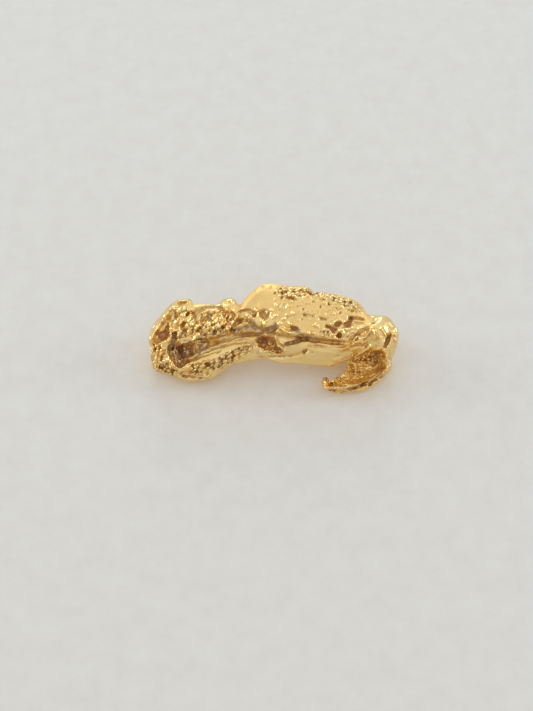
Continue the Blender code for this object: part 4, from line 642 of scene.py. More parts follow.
# brown earth, and painted shade, in the furrows, under edges and lips and in recesses: name, path, half
# width, strength
EARTH_AND_SHADE = [
    ("furrow wall", [(-5.41, -0.38), (-5.08, -0.65), (-4.65, -0.54), (-4.00, -0.27)], 0.39, 0.95),
    ("furrow wall low", [(-5.30, -0.92), (-5.03, -1.24)], 0.22, 0.85),
    ("furrow wall right", [(-4.05, -0.16), (-3.68, 0.05), (-3.30, 0.32), (-2.81, 0.46),
     (-2.32, 0.49)], 0.13, 0.45),
    ("furrow end line", [(-5.38, 0.27), (-5.46, -0.05), (-5.63, -0.38), (-5.59, -0.76), (-5.35, -1.11),
     (-5.08, -1.41)], 0.07, 1.00),
    ("furrow top line", [(-3.84, -0.27), (-3.62, -0.08), (-3.30, 0.08), (-2.97, 0.23), (-2.65, 0.29),
     (-2.32, 0.27)], 0.04, 0.80),
    ("step a", [(-3.24, -0.50), (-2.81, -0.34), (-2.38, -0.22), (-1.95, -0.11)], 0.03, 0.60),
    ("step b", [(-4.43, -1.08), (-4.05, -0.84), (-3.68, -0.68), (-3.35, -0.56)], 0.03, 0.60),
    ("step c", [(-3.35, -0.30), (-2.81, -0.05), (-2.27, 0.08), (-1.73, 0.19)], 0.03, 0.60),
    ("step d", [(-2.05, -0.05), (-1.68, 0.11), (-1.30, 0.19)], 0.03, 0.60),
    ("lip line", [(-4.54, -1.41), (-4.05, -1.27), (-3.62, -1.16), (-3.24, -1.11)], 0.06, 0.60),
    ("band a", [(-4.49, -1.68), (-4.16, -1.59), (-3.84, -1.49), (-3.41, -1.41)], 0.12, 0.50),
    ("band b", [(-3.46, -1.19), (-3.08, -1.22), (-2.86, -1.08), (-2.59, -0.86),
     (-2.32, -0.68)], 0.13, 0.85),
    ("band c", [(-2.86, -1.41), (-3.03, -1.35), (-3.24, -1.41)], 0.11, 0.80),
    ("band d", [(-2.27, -0.97), (-2.19, -0.76), (-2.32, -1.16)], 0.08, 0.80),
    ("band e", [(-2.11, -0.59), (-1.84, -0.51), (-1.62, -0.65), (-1.46, -0.38)], 0.10, 0.75),
    ("foot line", [(-4.92, -1.97), (-4.54, -2.02), (-4.00, -2.03)], 0.04, 0.90),
    ("end low", [(-6.22, -1.43), (-6.00, -1.49), (-5.78, -1.51)], 0.10, 0.80),
    ("end pit floor", [(-6.11, 0.14), (-5.92, 0.22), (-5.78, 0.54)], 0.12, 0.25),
    ("hollow brow", [(-4.00, 1.62), (-3.62, 1.73), (-3.30, 1.78), (-2.97, 1.73)], 0.09, 0.60),
    ("fold foot", [(-2.27, 0.41), (-2.28, 0.62), (-2.24, 0.76)], 0.07, 0.70),
    ("hollow line", [(-2.22, 0.46), (-1.95, 0.57), (-1.68, 0.66), (-1.35, 0.70)], 0.08, 0.90),
    ("hollow shade", [(-2.11, 0.70), (-1.68, 0.73), (-1.19, 0.54)], 0.19, 0.20),
    ("slope shade", [(-3.68, 0.05), (-2.81, 0.32), (-1.84, 0.43), (-0.65, 0.43)], 0.18, 0.45),
    ("notch arm", [(-1.27, 0.95), (-1.11, 0.78), (-0.92, 0.68), (-0.70, 0.63)], 0.10, 0.90),
    ("middle pit", [(-0.38, 0.51), (-0.22, 0.61), (0.11, 0.74)], 0.11, 1.00),
    ("shelf line", [(-2.27, 0.22), (-2.00, 0.28), (-1.62, 0.24), (-1.24, 0.31),
     (-0.70, 0.31)], 0.07, 0.75),
    ("notch pit", [(-0.73, 1.51), (-0.65, 1.30), (-0.54, 1.12)], 0.04, 0.70),
    ("notch pit right", [(-0.28, 1.57), (-0.28, 1.38), (-0.41, 1.22)], 0.05, 0.50),
    ("notch pit floor", [(-0.62, 1.43), (-0.54, 1.32)], 0.10, 0.40),
    ("lip pit", [(0.95, 0.65), (1.14, 0.59), (1.30, 0.51)], 0.10, 0.85),
    ("overhang", [(1.38, 0.05), (1.51, 0.22), (1.73, 0.16), (1.95, 0.09)], 0.14, 1.00),
    ("lip shade", [(-0.54, 0.35), (0.32, 0.27), (1.19, 0.16)], 0.09, 0.45),
    ("lip shade right", [(1.95, 0.08), (2.76, -0.02), (3.68, -0.14)], 0.10, 0.50),
    ("bend shade", [(4.27, 0.11), (4.65, 0.38), (5.08, 0.59)], 0.09, 0.40),
    ("wedge", [(0.65, -0.23), (0.97, -0.21), (1.35, -0.08)], 0.08, 0.95),
    ("wedge foot", [(0.43, -0.27), (0.57, -0.34)], 0.07, 0.60),
    ("red recess top", [(-0.70, 0.09), (-0.38, -0.02), (-0.05, -0.11)], 0.06, 0.60),
    ("belly crease", [(-0.16, -0.89), (0.38, -0.89), (0.92, -0.88), (1.30, -0.78),
     (1.62, -0.65)], 0.03, 0.85),
    ("bend pit", [(6.05, -0.32), (6.12, -0.08), (6.21, 0.16)], 0.08, 0.85),
    ("leaf groove a", [(4.00, -2.76), (4.32, -2.67), (4.70, -2.51), (5.03, -2.30)], 0.06, 0.65),
    ("leaf groove b", [(5.22, -2.46), (5.35, -2.24), (5.62, -2.08), (5.86, -1.99)], 0.08, 0.70),
]

# red-brown stain, and painted shade in creases, pits, under folds and lips and inside the hook: name, path,
# half width, strength
RUST_AND_SHADE = [
    ("furrow floor head", [(-4.97, -0.92), (-4.65, -0.86), (-4.32, -0.81)], 0.14, 0.50),
    ("foot shade", [(-5.03, -1.81), (-4.70, -1.78), (-4.22, -1.84)], 0.08, 0.50),
    ("end pit", [(-6.14, 0.16), (-5.95, 0.27), (-5.81, 0.46), (-5.75, 0.70)], 0.14, 1.00),
    ("end pit lip", [(-6.57, -0.22), (-6.46, -0.08), (-6.27, 0.00)], 0.08, 0.70),
    ("rim line", [(-5.73, 1.03), (-5.59, 1.19), (-5.32, 1.32)], 0.06, 0.60),
    ("curl line", [(-5.22, 1.96), (-5.03, 2.03), (-4.76, 2.04)], 0.03, 0.70),
    ("head dot", [(-4.71, 1.32), (-4.65, 1.41)], 0.07, 0.60),
    ("head slit", [(-4.92, 0.68), (-4.84, 0.86), (-4.70, 0.92)], 0.06, 0.60),
    ("end slit", [(-6.11, -1.08), (-5.97, -0.78), (-5.86, -0.62)], 0.05, 0.60),
    ("end dots", [(-6.49, -0.51), (-6.38, -0.54), (-6.57, -0.70)], 0.08, 0.55),
    ("hollow floor", [(-4.22, 1.30), (-3.84, 1.35)], 0.19, 0.35),
    ("fold recess", [(-2.76, 1.51), (-2.59, 1.27), (-2.43, 1.14)], 0.14, 0.25),
    ("fold ring", [(-2.30, 1.54), (-2.15, 1.35), (-2.19, 1.14), (-2.49, 0.95),
     (-2.65, 0.78)], 0.05, 0.70),
    ("fold low", [(-2.57, 0.59), (-2.38, 0.76), (-2.27, 0.89)], 0.05, 0.60),
    ("under fold", [(-2.05, 1.00), (-1.78, 1.12)], 0.07, 0.80),
    ("neck arcs", [(-1.78, 1.54), (-1.46, 1.63), (-1.24, 1.59), (-1.16, 1.43)], 0.06, 0.50),
    ("neck dot", [(-1.11, 1.30), (-0.97, 1.34)], 0.09, 0.65),
    ("bead seam", [(0.30, 0.46), (0.54, 0.30), (0.97, 0.22)], 0.03, 0.45),
    ("bead seam b", [(0.54, 0.81), (0.76, 0.57), (0.92, 0.46)], 0.02, 0.35),
    ("lip line left", [(1.89, 0.14), (2.16, 0.06), (2.38, 0.05)], 0.04, 0.80),
    ("lip line right", [(2.49, -0.03), (2.92, -0.06), (3.46, -0.12)], 0.03, 0.75),
    ("red recess", [(-0.76, 0.03), (-0.43, -0.14), (-0.08, -0.14)], 0.21, 0.90),
    ("red recess low", [(-0.65, -0.38), (-0.22, -0.46), (0.27, -0.57)], 0.15, 0.70),
    ("recess rim", [(-0.86, -0.84), (-0.65, -0.88), (-0.86, -0.65)], 0.06, 0.50),
    ("recess left", [(-1.24, -0.11), (-1.08, -0.27), (-1.19, -0.49)], 0.12, 0.50),
    ("belly crease end", [(1.59, -0.66), (1.76, -0.56)], 0.10, 0.60),
    ("belly line a", [(1.95, -0.41), (2.38, -0.32), (2.81, -0.41)], 0.06, 0.45),
    ("belly line b", [(2.11, -0.18), (2.32, -0.15)], 0.05, 0.50),
    ("belly dot", [(2.00, -0.66), (2.08, -0.65)], 0.06, 0.50),
    ("belly spot", [(3.30, -0.89), (3.49, -0.83)], 0.09, 0.40),
    ("plate pit a", [(2.86, 0.74), (3.08, 0.61), (3.27, 0.49)], 0.08, 0.80),
    ("plate pit b", [(3.32, 0.78), (3.57, 0.95)], 0.10, 0.80),
    ("plate pit c", [(3.78, 0.76), (4.03, 0.81), (4.14, 1.08)], 0.11, 0.85),
    ("plate crack", [(3.97, 1.24), (4.16, 1.15), (4.70, 1.15)], 0.04, 0.85),
    ("crack end", [(4.70, 1.06), (4.86, 1.12)], 0.06, 0.60),
    ("plate slit", [(2.49, 1.17), (2.81, 1.09)], 0.03, 0.70),
    ("plate dot a", [(1.65, 1.35), (1.73, 1.34)], 0.06, 0.60),
    ("plate dot b", [(2.92, 1.93), (3.00, 1.89)], 0.06, 0.60),
    ("plate dot c", [(4.19, 1.57), (4.30, 1.51)], 0.08, 0.60),
    ("plate dot d", [(3.51, 0.24), (3.59, 0.19)], 0.09, 0.60),
    ("plate dot e", [(2.50, 1.84), (2.51, 1.76)], 0.05, 0.50),
    ("plate dot f", [(2.62, 2.19), (2.70, 2.16)], 0.07, 0.55),
    ("plate dot g", [(2.89, 0.49), (2.92, 0.32)], 0.06, 0.55),
    ("crust a", [(0.46, 2.70), (0.57, 2.49), (0.68, 2.28), (0.97, 2.25)], 0.05, 0.45),
    ("crust b", [(1.05, 2.49), (1.08, 2.62), (1.24, 2.68)], 0.08, 0.35),
    ("crust c", [(1.43, 2.65), (1.51, 2.70), (1.78, 2.59), (2.00, 2.62)], 0.08, 0.60),
    ("crust d", [(2.30, 2.51), (2.54, 2.52)], 0.06, 0.60),
    ("crust e", [(0.05, 2.47), (0.14, 2.50)], 0.06, 0.40),
    ("bend crease a", [(4.11, -0.05), (4.32, 0.19), (4.54, 0.35)], 0.05, 0.50),
    ("bend crease b", [(4.86, 0.03), (5.03, 0.11), (5.14, 0.24)], 0.06, 0.60),
    ("bend crease c", [(5.03, 0.57), (5.19, 0.68)], 0.06, 0.50),
    ("bend crease d", [(5.24, 0.86), (5.41, 0.88)], 0.05, 0.50),
    ("right crease", [(4.22, -0.36), (4.54, -0.31), (4.86, -0.23)], 0.06, 0.70),
    ("rim seams", [(6.53, 0.19), (6.55, -0.11)], 0.05, 0.50),
    ("hook head", [(4.32, -1.05), (4.70, -1.16), (5.19, -1.19), (5.68, -1.16)], 0.17, 0.70),
    ("hook head top", [(5.19, -0.92), (5.35, -0.84)], 0.13, 0.70),
    ("hook side", [(4.22, -1.41), (4.38, -1.73)], 0.19, 0.55),
    ("hook floor", [(4.11, -1.95), (4.76, -1.84), (5.62, -1.51), (6.05, -1.19)], 0.35, 0.25),
    ("leaf left", [(3.08, -2.35), (3.41, -2.43), (3.78, -2.49)], 0.10, 0.60),
    ("leaf groove c", [(5.14, -2.11), (5.43, -2.00), (5.73, -1.84)], 0.05, 0.80),
    ("leaf low seam", [(3.08, -2.72), (3.35, -2.80), (3.62, -2.85), (3.89, -2.85)], 0.05, 0.80),
    ("tip knob top", [(2.68, -2.11), (2.86, -2.09)], 0.06, 0.50),
]

# ---- how the features are laid on, in millimetres where nothing else is said

PIT_REACH = 0.95            # a pit is down to half its depth where this times the distance is 0.91
BEAD_FALL = 0.7             # a soft bead runs out where this times the distance squared is 1

# Seeded lattices, counted in their own cells.
REPEAT = 17                         # a lattice repeats after this many cells
CELL_WALL = 0.08                    # a grain's middle keeps this clear of its cell's walls
SEAM_WIDTH, SEAM_CUT = 0.24, 0.5    # how wide a seam is, and what it takes off a grain's height
GRAIN_ROUND, GRAIN_FOOT = 1.9, -0.4     # how fast a grain falls off from its top at 1, and down to what

# A zone is whole up to the first share of its half width, and gone past the second.
ZONE_WHOLE, ZONE_GONE = 0.55, 1.25
CALM_WHOLE, CALM_GONE = 0.7, 1.3
FINE_KEPT = 0.5                     # in a calm zone the fine swells keep at least this share
# The mean share of a zone's grain, how far patches of it swing either way, and their size.
ZONE_SHARE, ZONE_PATCH, ZONE_PATCH_SIZE = 0.85, 0.35, 0.4
BEND, BEND_SIZE = 0.03, 0.25        # how far, and in what swells, a zone's lattice is bent
TALL_GRAIN = 0.10                   # grains of this height or more are fully rough, with full seams
# The back's grains: size, stretch, turn in degrees and height.  They are left in soft-edged patches.
BACK_GRAIN, BACK_STRETCH, BACK_TURN, BACK_RISE = 0.30, 1.4, 20, 0.07
WORN_SIZE, WORN_EDGE = 1.3, 0.35

# size, reach: the swells that fray the strokes of stain and painted shade
FRAY = [(0.33, 0.08), (0.15, 0.13), (0.07, 0.09)]
BROAD_STROKE = 0.11                 # strokes with a smaller half width are frayed less
STROKE_EDGE = 0.035                 # half the width of a stroke's soft edge
MOTTLE_SIZE, MOTTLE_MEAN, MOTTLE_REACH = 0.09, 0.8, 0.7     # how the strokes of stain and painted shade are broken up

# How hollow or high a point lies is measured against the mean of the skin in a window round it, which
# reaches so many rings and so many points.  Of a span of depths, heights or slopes, the first number
# is where its effect begins and the second where it is full.
NARROW_WINDOW, WIDE_WINDOW = (5, 2), (16, 6)
# The tarnish is partly painted shade: it darkens the metal in hollows, in basins and in the seams between
# grains, front and back.
HOLLOW_DEPTHS, HOLLOW_SHADE_AND_TARNISH = (0.010, 0.06), 0.36
BASIN_DEPTHS, BASIN_SHADE_AND_TARNISH = (0.05, 0.35), 0.22
SEAM_SHADE_AND_TARNISH, BACK_TARNISH, BACK_SEAM_SHADE_AND_TARNISH = 0.42, 0.10, 0.30
RUBBED_HEIGHTS = 0.002, 0.02
SATIN_SLOPES, SATIN_HEIGHTS, BACK_SATIN = (-0.3, 0.1), (0.028, 0.012), 0.4
DULL_BEAD = 0.05, 0.01              # small beads of the first height or more keep their polish
CLEAN_DEPTHS, GRAIN_TOP_CLEAN = (0.012, -0.006), 0.85       # dirt and painted shade are kept off the tops of grains

GRAIN_SEED, ZONE_SEED, BEND_SEED, WANDER_SEED = 100, 200, 220, 230
BACK_SEED, WORN_SEED, EARTH_AND_SHADE_SEED, RUST_AND_SHADE_SEED = 300, 301, 400, 410


def smooth_curve(knots, values, at):
    """Cubic through the values at the knots, read at `at`; the slope at a knot is the
    mean of its two neighbours' slopes, each weighted by the other's length."""
    knots, values, at = (np.asarray(item, float) for item in (knots, values, at))
    spread = (-1,) + (1,) * (values.ndim - 1)
    gaps = np.diff(knots)
    slopes = np.diff(values, axis=0) / gaps.reshape(spread)
    weight = (gaps[1:] / (gaps[1:] + gaps[:-1])).reshape(spread)
    tangents = np.concatenate([slopes[:1], slopes[:-1] * weight + slopes[1:] * (1 - weight), slopes[-1:]])
    span = np.clip(np.searchsorted(knots, at, side="right") - 1, 0, len(gaps) - 1)
    gap = gaps[span].reshape(spread)
    t = ((at - knots[span]) / gaps[span]).reshape(spread)
    return ((2 * t**3 - 3 * t**2 + 1) * values[span] + (t**3 - 2 * t**2 + t) * gap * tangents[span]
            + (3 * t**2 - 2 * t**3) * values[span + 1] + (t**3 - t**2) * gap * tangents[span + 1])


def ramp(low, high, value):
    """0 below low, 1 above high, and a smooth rise between them."""
    t = np.clip((value - low) / (high - low), 0, 1)
    return t * t * (3 - 2 * t)


def plain_skin(rings, around):
    """The loft alone: an array of rings x around x (along, up, out), and each ring's rung.

    The rings stand at even steps of a walk, a weighted mean of the lengths of the two edges.
    Each ring is a smooth closed curve through its section's eleven front and four back lines."""
    upper, lower = np.array(UPPER_EDGE), np.array(LOWER_EDGE)
    fine = np.linspace(0, LAST_RUNG, WALK_STEPS)
    walk = np.zeros(WALK_STEPS - 1)
    for edge, weight in zip((upper, lower), EDGE_WEIGHTS):
        points = smooth_curve(edge[:, 0], edge[:, 1:], fine)
        walk += weight * np.hypot(*np.diff(points, axis=0).T)
    walked = np.concatenate([[0], np.cumsum(walk)])
    rungs = np.interp(np.linspace(0, walked[-1], rings), walked, fine)

    top = smooth_curve(upper[:, 0], upper[:, 1:], rungs)[:, None]
    bottom = smooth_curve(lower[:, 0], lower[:, 1:], rungs)[:, None]
    lines = np.array([front + back for _, _, front, back in SECTIONS])
    lines = smooth_curve([section[0] for section in SECTIONS], lines, rungs)
    cage = np.concatenate([bottom + (top - bottom) * lines[..., :1], lines[..., 1:]], axis=2)

    share = np.concatenate([[0], np.cumsum(FRONT_SHARE + BACK_SHARE)])
    stations = np.interp(np.arange(around) / around * share[-1], share, np.arange(len(share)))
    before, after = cage[:, -2:], cage[:, :3]       # so that the curve runs on through its own start
    wrapped = np.concatenate([before, cage, after], axis=1).transpose(1, 0, 2)
    skin = smooth_curve(np.arange(len(wrapped)) - before.shape[1], wrapped, stations)
    return skin.transpose(1, 0, 2), rungs


def outward(skin):
    """Unit normals of a grid of rings: the cross product of the two ways along the grid."""
    along = np.gradient(skin, axis=0)
    across = np.roll(skin, -1, axis=1) - np.roll(skin, 1, axis=1)
    normal = np.cross(along, across)
    return normal / (np.linalg.norm(normal, axis=2, keepdims=True) + 1e-12)


def distance_to(path, along, up):
    """Distance from each point to the nearest stretch of a path of (along, up) corners."""
    nearest = np.full(along.shape, np.inf)
    for (x0, y0), (x1, y1) in zip(path[:-1], path[1:]):
        dx, dy = x1 - x0, y1 - y0
        t = np.clip(((along - x0) * dx + (up - y0) * dy) / (dx * dx + dy * dy), 0, 1)
        nearest = np.minimum(nearest, (along - x0 - t * dx)**2 + (up - y0 - t * dy)**2)
    return np.sqrt(nearest)


def oval(along, up, x, y, long_radius, short_radius, turn):
    """Distance from an oval's middle, counted in its own radii; turn is in degrees."""
    east, north = along - x, up - y
    cosine, sine = np.cos(radians(turn)), np.sin(radians(turn))
    return np.hypot((east * cosine + north * sine) / long_radius,
                    (north * cosine - east * sine) / short_radius)


def relief(along, up, ridges, pits, beads=()):
    """Height of one side's features over its loft: ridges, each a bell curve of the distance
    to its path, flat-floored pits and half-round beads."""
    height = np.zeros_like(along)
    for _, rise, width, path in ridges:
        height += rise * np.exp(-(distance_to(path, along, up) / width)**2)
    for _, x, y, long_radius, short_radius, turn, depth in pits:
        height -= depth * np.exp(-(PIT_REACH * oval(along, up, x, y, long_radius, short_radius, turn))**4)
    for x, y, long_radius, short_radius, turn, rise in beads:
        distance = oval(along, up, x, y, long_radius, short_radius, turn)
        height += rise * np.sqrt(np.clip(1 - distance**2, 0, 1))
    return height


def soft_beads(along, up, beads):
    """Height of small beads, each a round hump that runs out without an edge."""
    height = np.zeros_like(along)
    for x, y, long_radius, short_radius, turn, rise in beads:
        distance = oval(along, up, x, y, long_radius, short_radius, turn)
        height += rise * np.clip(1 - BEAD_FALL * distance**2, 0, 1)**2
    return height


def swell(points, size, seed):
    """Smooth noise from -1 to 1: seeded values on a cubic lattice, blended between its corners."""
    values = np.random.default_rng(seed).random((REPEAT, REPEAT, REPEAT, 3))[..., 0] * 2 - 1
    place = points / size
    corner = np.floor(place).astype(int)
    blend = ramp(0, 1, place - corner)
    total = np.zeros(points.shape[:-1])
    for step in np.ndindex(2, 2, 2):
        weight = np.prod(np.where(step, blend, 1 - blend), axis=-1)
        i, j, k = np.moveaxis((corner + step) % REPEAT, -1, 0)
        total += weight * values[i, j, k]
    return total


def grains(points, size, seed):
    """Rounded grains that meet in seams, about -0.7 in a seam and 1 on a grain, and the seam mask.

    Each lattice cell holds one seeded grain, clear of the cell's walls.  A point's height is the
    round of its nearest grain, cut down by a seam where the second nearest is as near."""
    places = np.random.default_rng(seed).random((REPEAT, REPEAT, REPEAT, 3))
    place = points / size
    corner = np.floor(place).astype(int)
    nearest, second = np.full((2,) + points.shape[:-1], np.inf)
    for step in np.ndindex(3, 3, 3):
        cell = corner + step - 1
        i, j, k = np.moveaxis(cell % REPEAT, -1, 0)
        middle = cell + CELL_WALL + (1 - 2 * CELL_WALL) * places[i, j, k]
        distance = np.linalg.norm(middle - place, axis=-1)
        second = np.minimum(second, np.maximum(nearest, distance))
        nearest = np.minimum(nearest, distance)
    seam = 1 - ramp(0.0, SEAM_WIDTH, second - nearest)
    return np.clip(1 - GRAIN_ROUND * nearest**2, GRAIN_FOOT, 1) - SEAM_CUT * seam, seam


def stretched(skin, stretch, turn):
    """The skin's points turned on the face and squeezed along, so that grains on them come out long."""
    cosine, sine = np.cos(radians(turn)), np.sin(radians(turn))
    along, up, out = np.moveaxis(skin, -1, 0)
    return np.stack([(along * cosine + up * sine) / stretch, up * cosine - along * sine, out], axis=-1)


def blurred(values, reach_along, reach_around):
    """Mean of a grid over a window, wrapped round each ring and held at the two end rings."""
    for axis, reach, mode in ((0, reach_along, "edge"), (1, reach_around, "wrap")):
        padding = [(0, 0)] * values.ndim
        padding[axis] = (reach + 1, reach)
        total = np.cumsum(np.pad(values, padding, mode=mode), axis=axis)
        wide = 2 * reach + 1
        upper = np.take(total, range(wide, total.shape[axis]), axis=axis)
        lower = np.take(total, range(0, total.shape[axis] - wide), axis=axis)
        values = (upper - lower) / wide
    return values


def sunken(skin, normal, window, times):
    """How far each point lies below the mean of the skin round it, blurred that many times."""
    mean = skin
    for _ in range(times):
        mean = blurred(mean, *window)
    return np.sum((mean - skin) * normal, axis=2)


def lean_back(skin):
    """Points laid out on the face, turned to x, y and z as the nugget lies; still in millimetres."""
    sine, cosine = np.sin(FACE_TILT), np.cos(FACE_TILT)
    along, up, out = np.moveaxis(skin, -1, 0)
    return np.stack([along, up * sine - out * cosine, up * cosine + out * sine], axis=-1)


def standing_place(solid):
    """How far the solid's skin is moved to stand on its worn feet with the origin under its middle."""
    stood = lean_back(solid)
    low, high = stood.min(axis=(0, 1)), stood.max(axis=(0, 1))
    return np.array([-(low[0] + high[0]) / 2, -(low[1] + high[1]) / 2, -low[2] - FOOT_WEAR])


def solid_skin(skin, rungs):
    """The loft with the solid's own features, its normals and broad swells, and how squarely
    each point faces front and back."""
    normal = outward(skin)
    along, up = skin[..., 0], skin[..., 1]
    ends = (ramp(0, HEAD_FADE, rungs) * ramp(0, TIP_FADE, LAST_RUNG - rungs))[:, None]
    facing = ramp(FADE_FROM, FADE_TO, normal[..., 2]) * ends
    behind = ramp(FADE_FROM, FADE_TO, -normal[..., 2]) * ends
    broad = sum(height * swell(skin, size, seed) for size, height, seed in SWELLS)
    solid = skin + normal * (broad * ends)[..., None]
    solid[..., 2] += facing * relief(along, up, RIDGES, PITS, BEADS)
    solid[..., 2] -= behind * relief(along, up, BACK_RIDGES, BACK_PITS)
    return solid, normal, broad, facing, behind, ends


def calmness(along, up):
    """The share of the swells that each point keeps: least inside the calm zones, 1 outside them."""
    calm = np.ones_like(along)
    for _, path, half_width, share in CALM_ZONES:
        inside = ramp(half_width * CALM_GONE, half_width * CALM_WHOLE, distance_to(path, along, up))
        calm = np.minimum(calm, 1 - (1 - share) * inside)
    return calm


def front_grains(skin, height):
    """The front's height with the grains of every zone added, their seams, and how grainy each
    point is.  A zone is patchy inside, and its lattice is bent so that no rows show."""
    along, up = skin[..., 0], skin[..., 1]
    seams, grainy = np.zeros_like(along), np.zeros_like(along)
    for order, (_, path, half_width, size, stretch, turn, rise) in enumerate(GRAIN_ZONES):
        inside = ramp(half_width * ZONE_GONE, half_width * ZONE_WHOLE, distance_to(path, along, up))
        inside = inside * (ZONE_SHARE + ZONE_PATCH * swell(skin, ZONE_PATCH_SIZE, ZONE_SEED + order))
        bent = skin + BEND * swell(skin, BEND_SIZE, BEND_SEED + order)[..., None]
        grain, seam = grains(stretched(bent, stretch, turn), size, GRAIN_SEED + order)
        height = height + rise * inside * grain
        seams += seam * inside * min(1, rise / TALL_GRAIN)
        grainy = np.maximum(grainy, inside * min(1, rise / TALL_GRAIN))
    return height, seams, grainy


def stained(skin, strokes, seed):
    """How strongly the strokes of one list of stain and painted shade cover each point; noise frays and
    breaks them up.
    """
    along, up = skin[..., 0], skin[..., 1]
    fray = sum(reach * swell(skin, size, seed + order) for order, (size, reach) in enumerate(FRAY))
    cover = np.zeros_like(along)
    for _, path, half_width, strength in strokes:
        distance = distance_to(path, along, up) + fray * min(1, half_width / BROAD_STROKE)
        edge = half_width + STROKE_EDGE, half_width - STROKE_EDGE
        cover = np.maximum(cover, strength * ramp(*edge, distance))
    mottle = swell(skin, MOTTLE_SIZE, seed + len(FRAY))
    return cover * np.clip(MOTTLE_MEAN + MOTTLE_REACH * mottle, 0, 1)


def nugget_skin():
    """The dressed skin in millimetres, its masks, and where the face's origin stands.

    Fine swells lift the solid's skin along its normals, and in the calm zones they take some of
    its broad swells away.  The front gets its threads, dots, beads and grains, and the back its
    own grains, straight off the face.  Each nick pushes the outline in with a bell curve."""
    skin, rungs = plain_skin(RINGS, AROUND)
    solid, normal, broad, facing, behind, ends = solid_skin(skin, rungs)
    along, up = skin[..., 0], skin[..., 1]
    kept = calmness(along, up)
    calm = kept * facing + 1 - facing

    astray, awry = (way + WANDER * swell(skin, WANDER_SIZE, WANDER_SEED + order)
                    for order, way in enumerate((along, up)))
    beads = soft_beads(astray, awry, SMALL_BEADS)
    front = relief(astray, awry, THREADS, DOTS) + beads
    front, seams, grainy = front_grains(skin, front)
    grain, back_seam = grains(stretched(skin, BACK_STRETCH, BACK_TURN), BACK_GRAIN, BACK_SEED)
    worn = ramp(-WORN_EDGE, WORN_EDGE, swell(skin, WORN_SIZE, WORN_SEED))
    fine = sum(height * swell(skin, size, seed) for size, height, seed in FINE_SWELLS)
    fine = (FINE_KEPT + (1 - FINE_KEPT) * calm) * fine
    dressed = solid + normal * ((fine - (1 - calm) * broad) * ends)[..., None]
    dressed[..., 2] += facing * front - behind * (BACK_RISE * worn * grain)
    for _, x, y, radius, push_along, push_up in NICKS:
        near = np.exp(-((along - x)**2 + (up - y)**2) / radius**2)
        dressed[..., :2] += near[..., None] * (push_along, push_up)

    normal = outward(dressed)
    hollow = sunken(dressed, normal, NARROW_WINDOW, 1)
    basin = sunken(dressed, normal, WIDE_WINDOW, 2)
    # tarnish and painted shade: darker in hollows, in basins and in the seams between grains, and a little
    # all over the back
    tarnish_and_shade = (HOLLOW_SHADE_AND_TARNISH * ramp(*HOLLOW_DEPTHS, hollow) + BASIN_SHADE_AND_TARNISH * ramp(*BASIN_DEPTHS, basin)
               + SEAM_SHADE_AND_TARNISH * facing * seams
               + behind * (BACK_TARNISH + BACK_SEAM_SHADE_AND_TARNISH * worn * back_seam))
    satin = ramp(*SATIN_SLOPES, normal[..., 2]) * (1 - kept) * ramp(*SATIN_HEIGHTS, -hollow)
    # where the strokes of stain, dirt and painted shade may lie: on the front, less on the tops of grains
    below_grain_tops = facing * (1 - GRAIN_TOP_CLEAN * grainy * ramp(*CLEAN_DEPTHS, hollow))
    masks = {
        "tarnish_and_shade": np.clip(tarnish_and_shade, 0, 1),
        "rubbed": ramp(*RUBBED_HEIGHTS, -hollow),
        "satin": np.maximum(satin * ramp(*DULL_BEAD, beads), BACK_SATIN * behind),
        "grainy": facing * grainy,
        "earth_and_shade": below_grain_tops * stained(skin, EARTH_AND_SHADE, EARTH_AND_SHADE_SEED),
        "rust_and_shade": below_grain_tops * stained(skin, RUST_AND_SHADE, RUST_AND_SHADE_SEED),
    }
    place = standing_place(solid)
    stood = lean_back(dressed) + place
    stood[..., 2] = np.maximum(stood[..., 2], 0)
    return stood, masks, place


def nugget_mesh(name, skin, masks):
    """The skin as quads between neighbouring rings, with a fan of triangles on a point at each end."""
    points = np.concatenate([skin.reshape(-1, 3), skin[[0, -1]].mean(axis=1)]) * MM
    ring = np.arange(RINGS * AROUND).reshape(RINGS, AROUND)
    beside = np.roll(ring, -1, axis=1)
    quads = np.stack([ring[:-1], ring[1:], beside[1:], beside[:-1]], axis=-1).reshape(-1)
    first, last = RINGS * AROUND, RINGS * AROUND + 1
    head = np.stack([np.full(AROUND, first), ring[0], beside[0]], axis=-1).reshape(-1)
    tail = np.stack([np.full(AROUND, last), beside[-1], ring[-1]], axis=-1).reshape(-1)
    corners = np.concatenate([quads, head, tail])
    starts = np.concatenate([np.arange(0, len(quads), 4), np.arange(len(quads), len(corners), 3)])

    mesh = bpy.data.meshes.new(name)
    mesh.vertices.add(len(points))
    mesh.vertices.foreach_set("co", points.reshape(-1))
    mesh.loops.add(len(corners))
    mesh.loops.foreach_set("vertex_index", corners)
    mesh.polygons.add(len(starts))
    mesh.polygons.foreach_set("loop_start", starts)
    mesh.update(calc_edges=True)
    mesh.validate()
    mesh.shade_smooth()
    for key, mask in masks.items():
        layer = mesh.attributes.new(key, "FLOAT", "POINT")
        layer.data.foreach_set("value", np.concatenate([mask.reshape(-1), mask[[0, -1]].mean(axis=1)]))
    return mesh


# ---- materials

# share of tarnish and painted shade, colour: bright metal, warm metal, dull metal, brown metal, dirt and
# painted shade in the deepest pits
GOLD_STAIN_AND_SHADE = [
    (0.00, (0.940, 0.700, 0.310)),
    (0.30, (0.850, 0.610, 0.250)),
    (0.55, (0.630, 0.465, 0.230)),
    (0.80, (0.425, 0.305, 0.175)),
    (1.00, (0.265, 0.180, 0.115)),
]
# the colours of the earth and red-brown strokes, which partly paint shade
EARTH_AND_SHADE_COLOUR = (0.390, 0.230, 0.165, 1.0)
RUST_AND_SHADE_COLOUR = (0.480, 0.215, 0.100, 1.0)

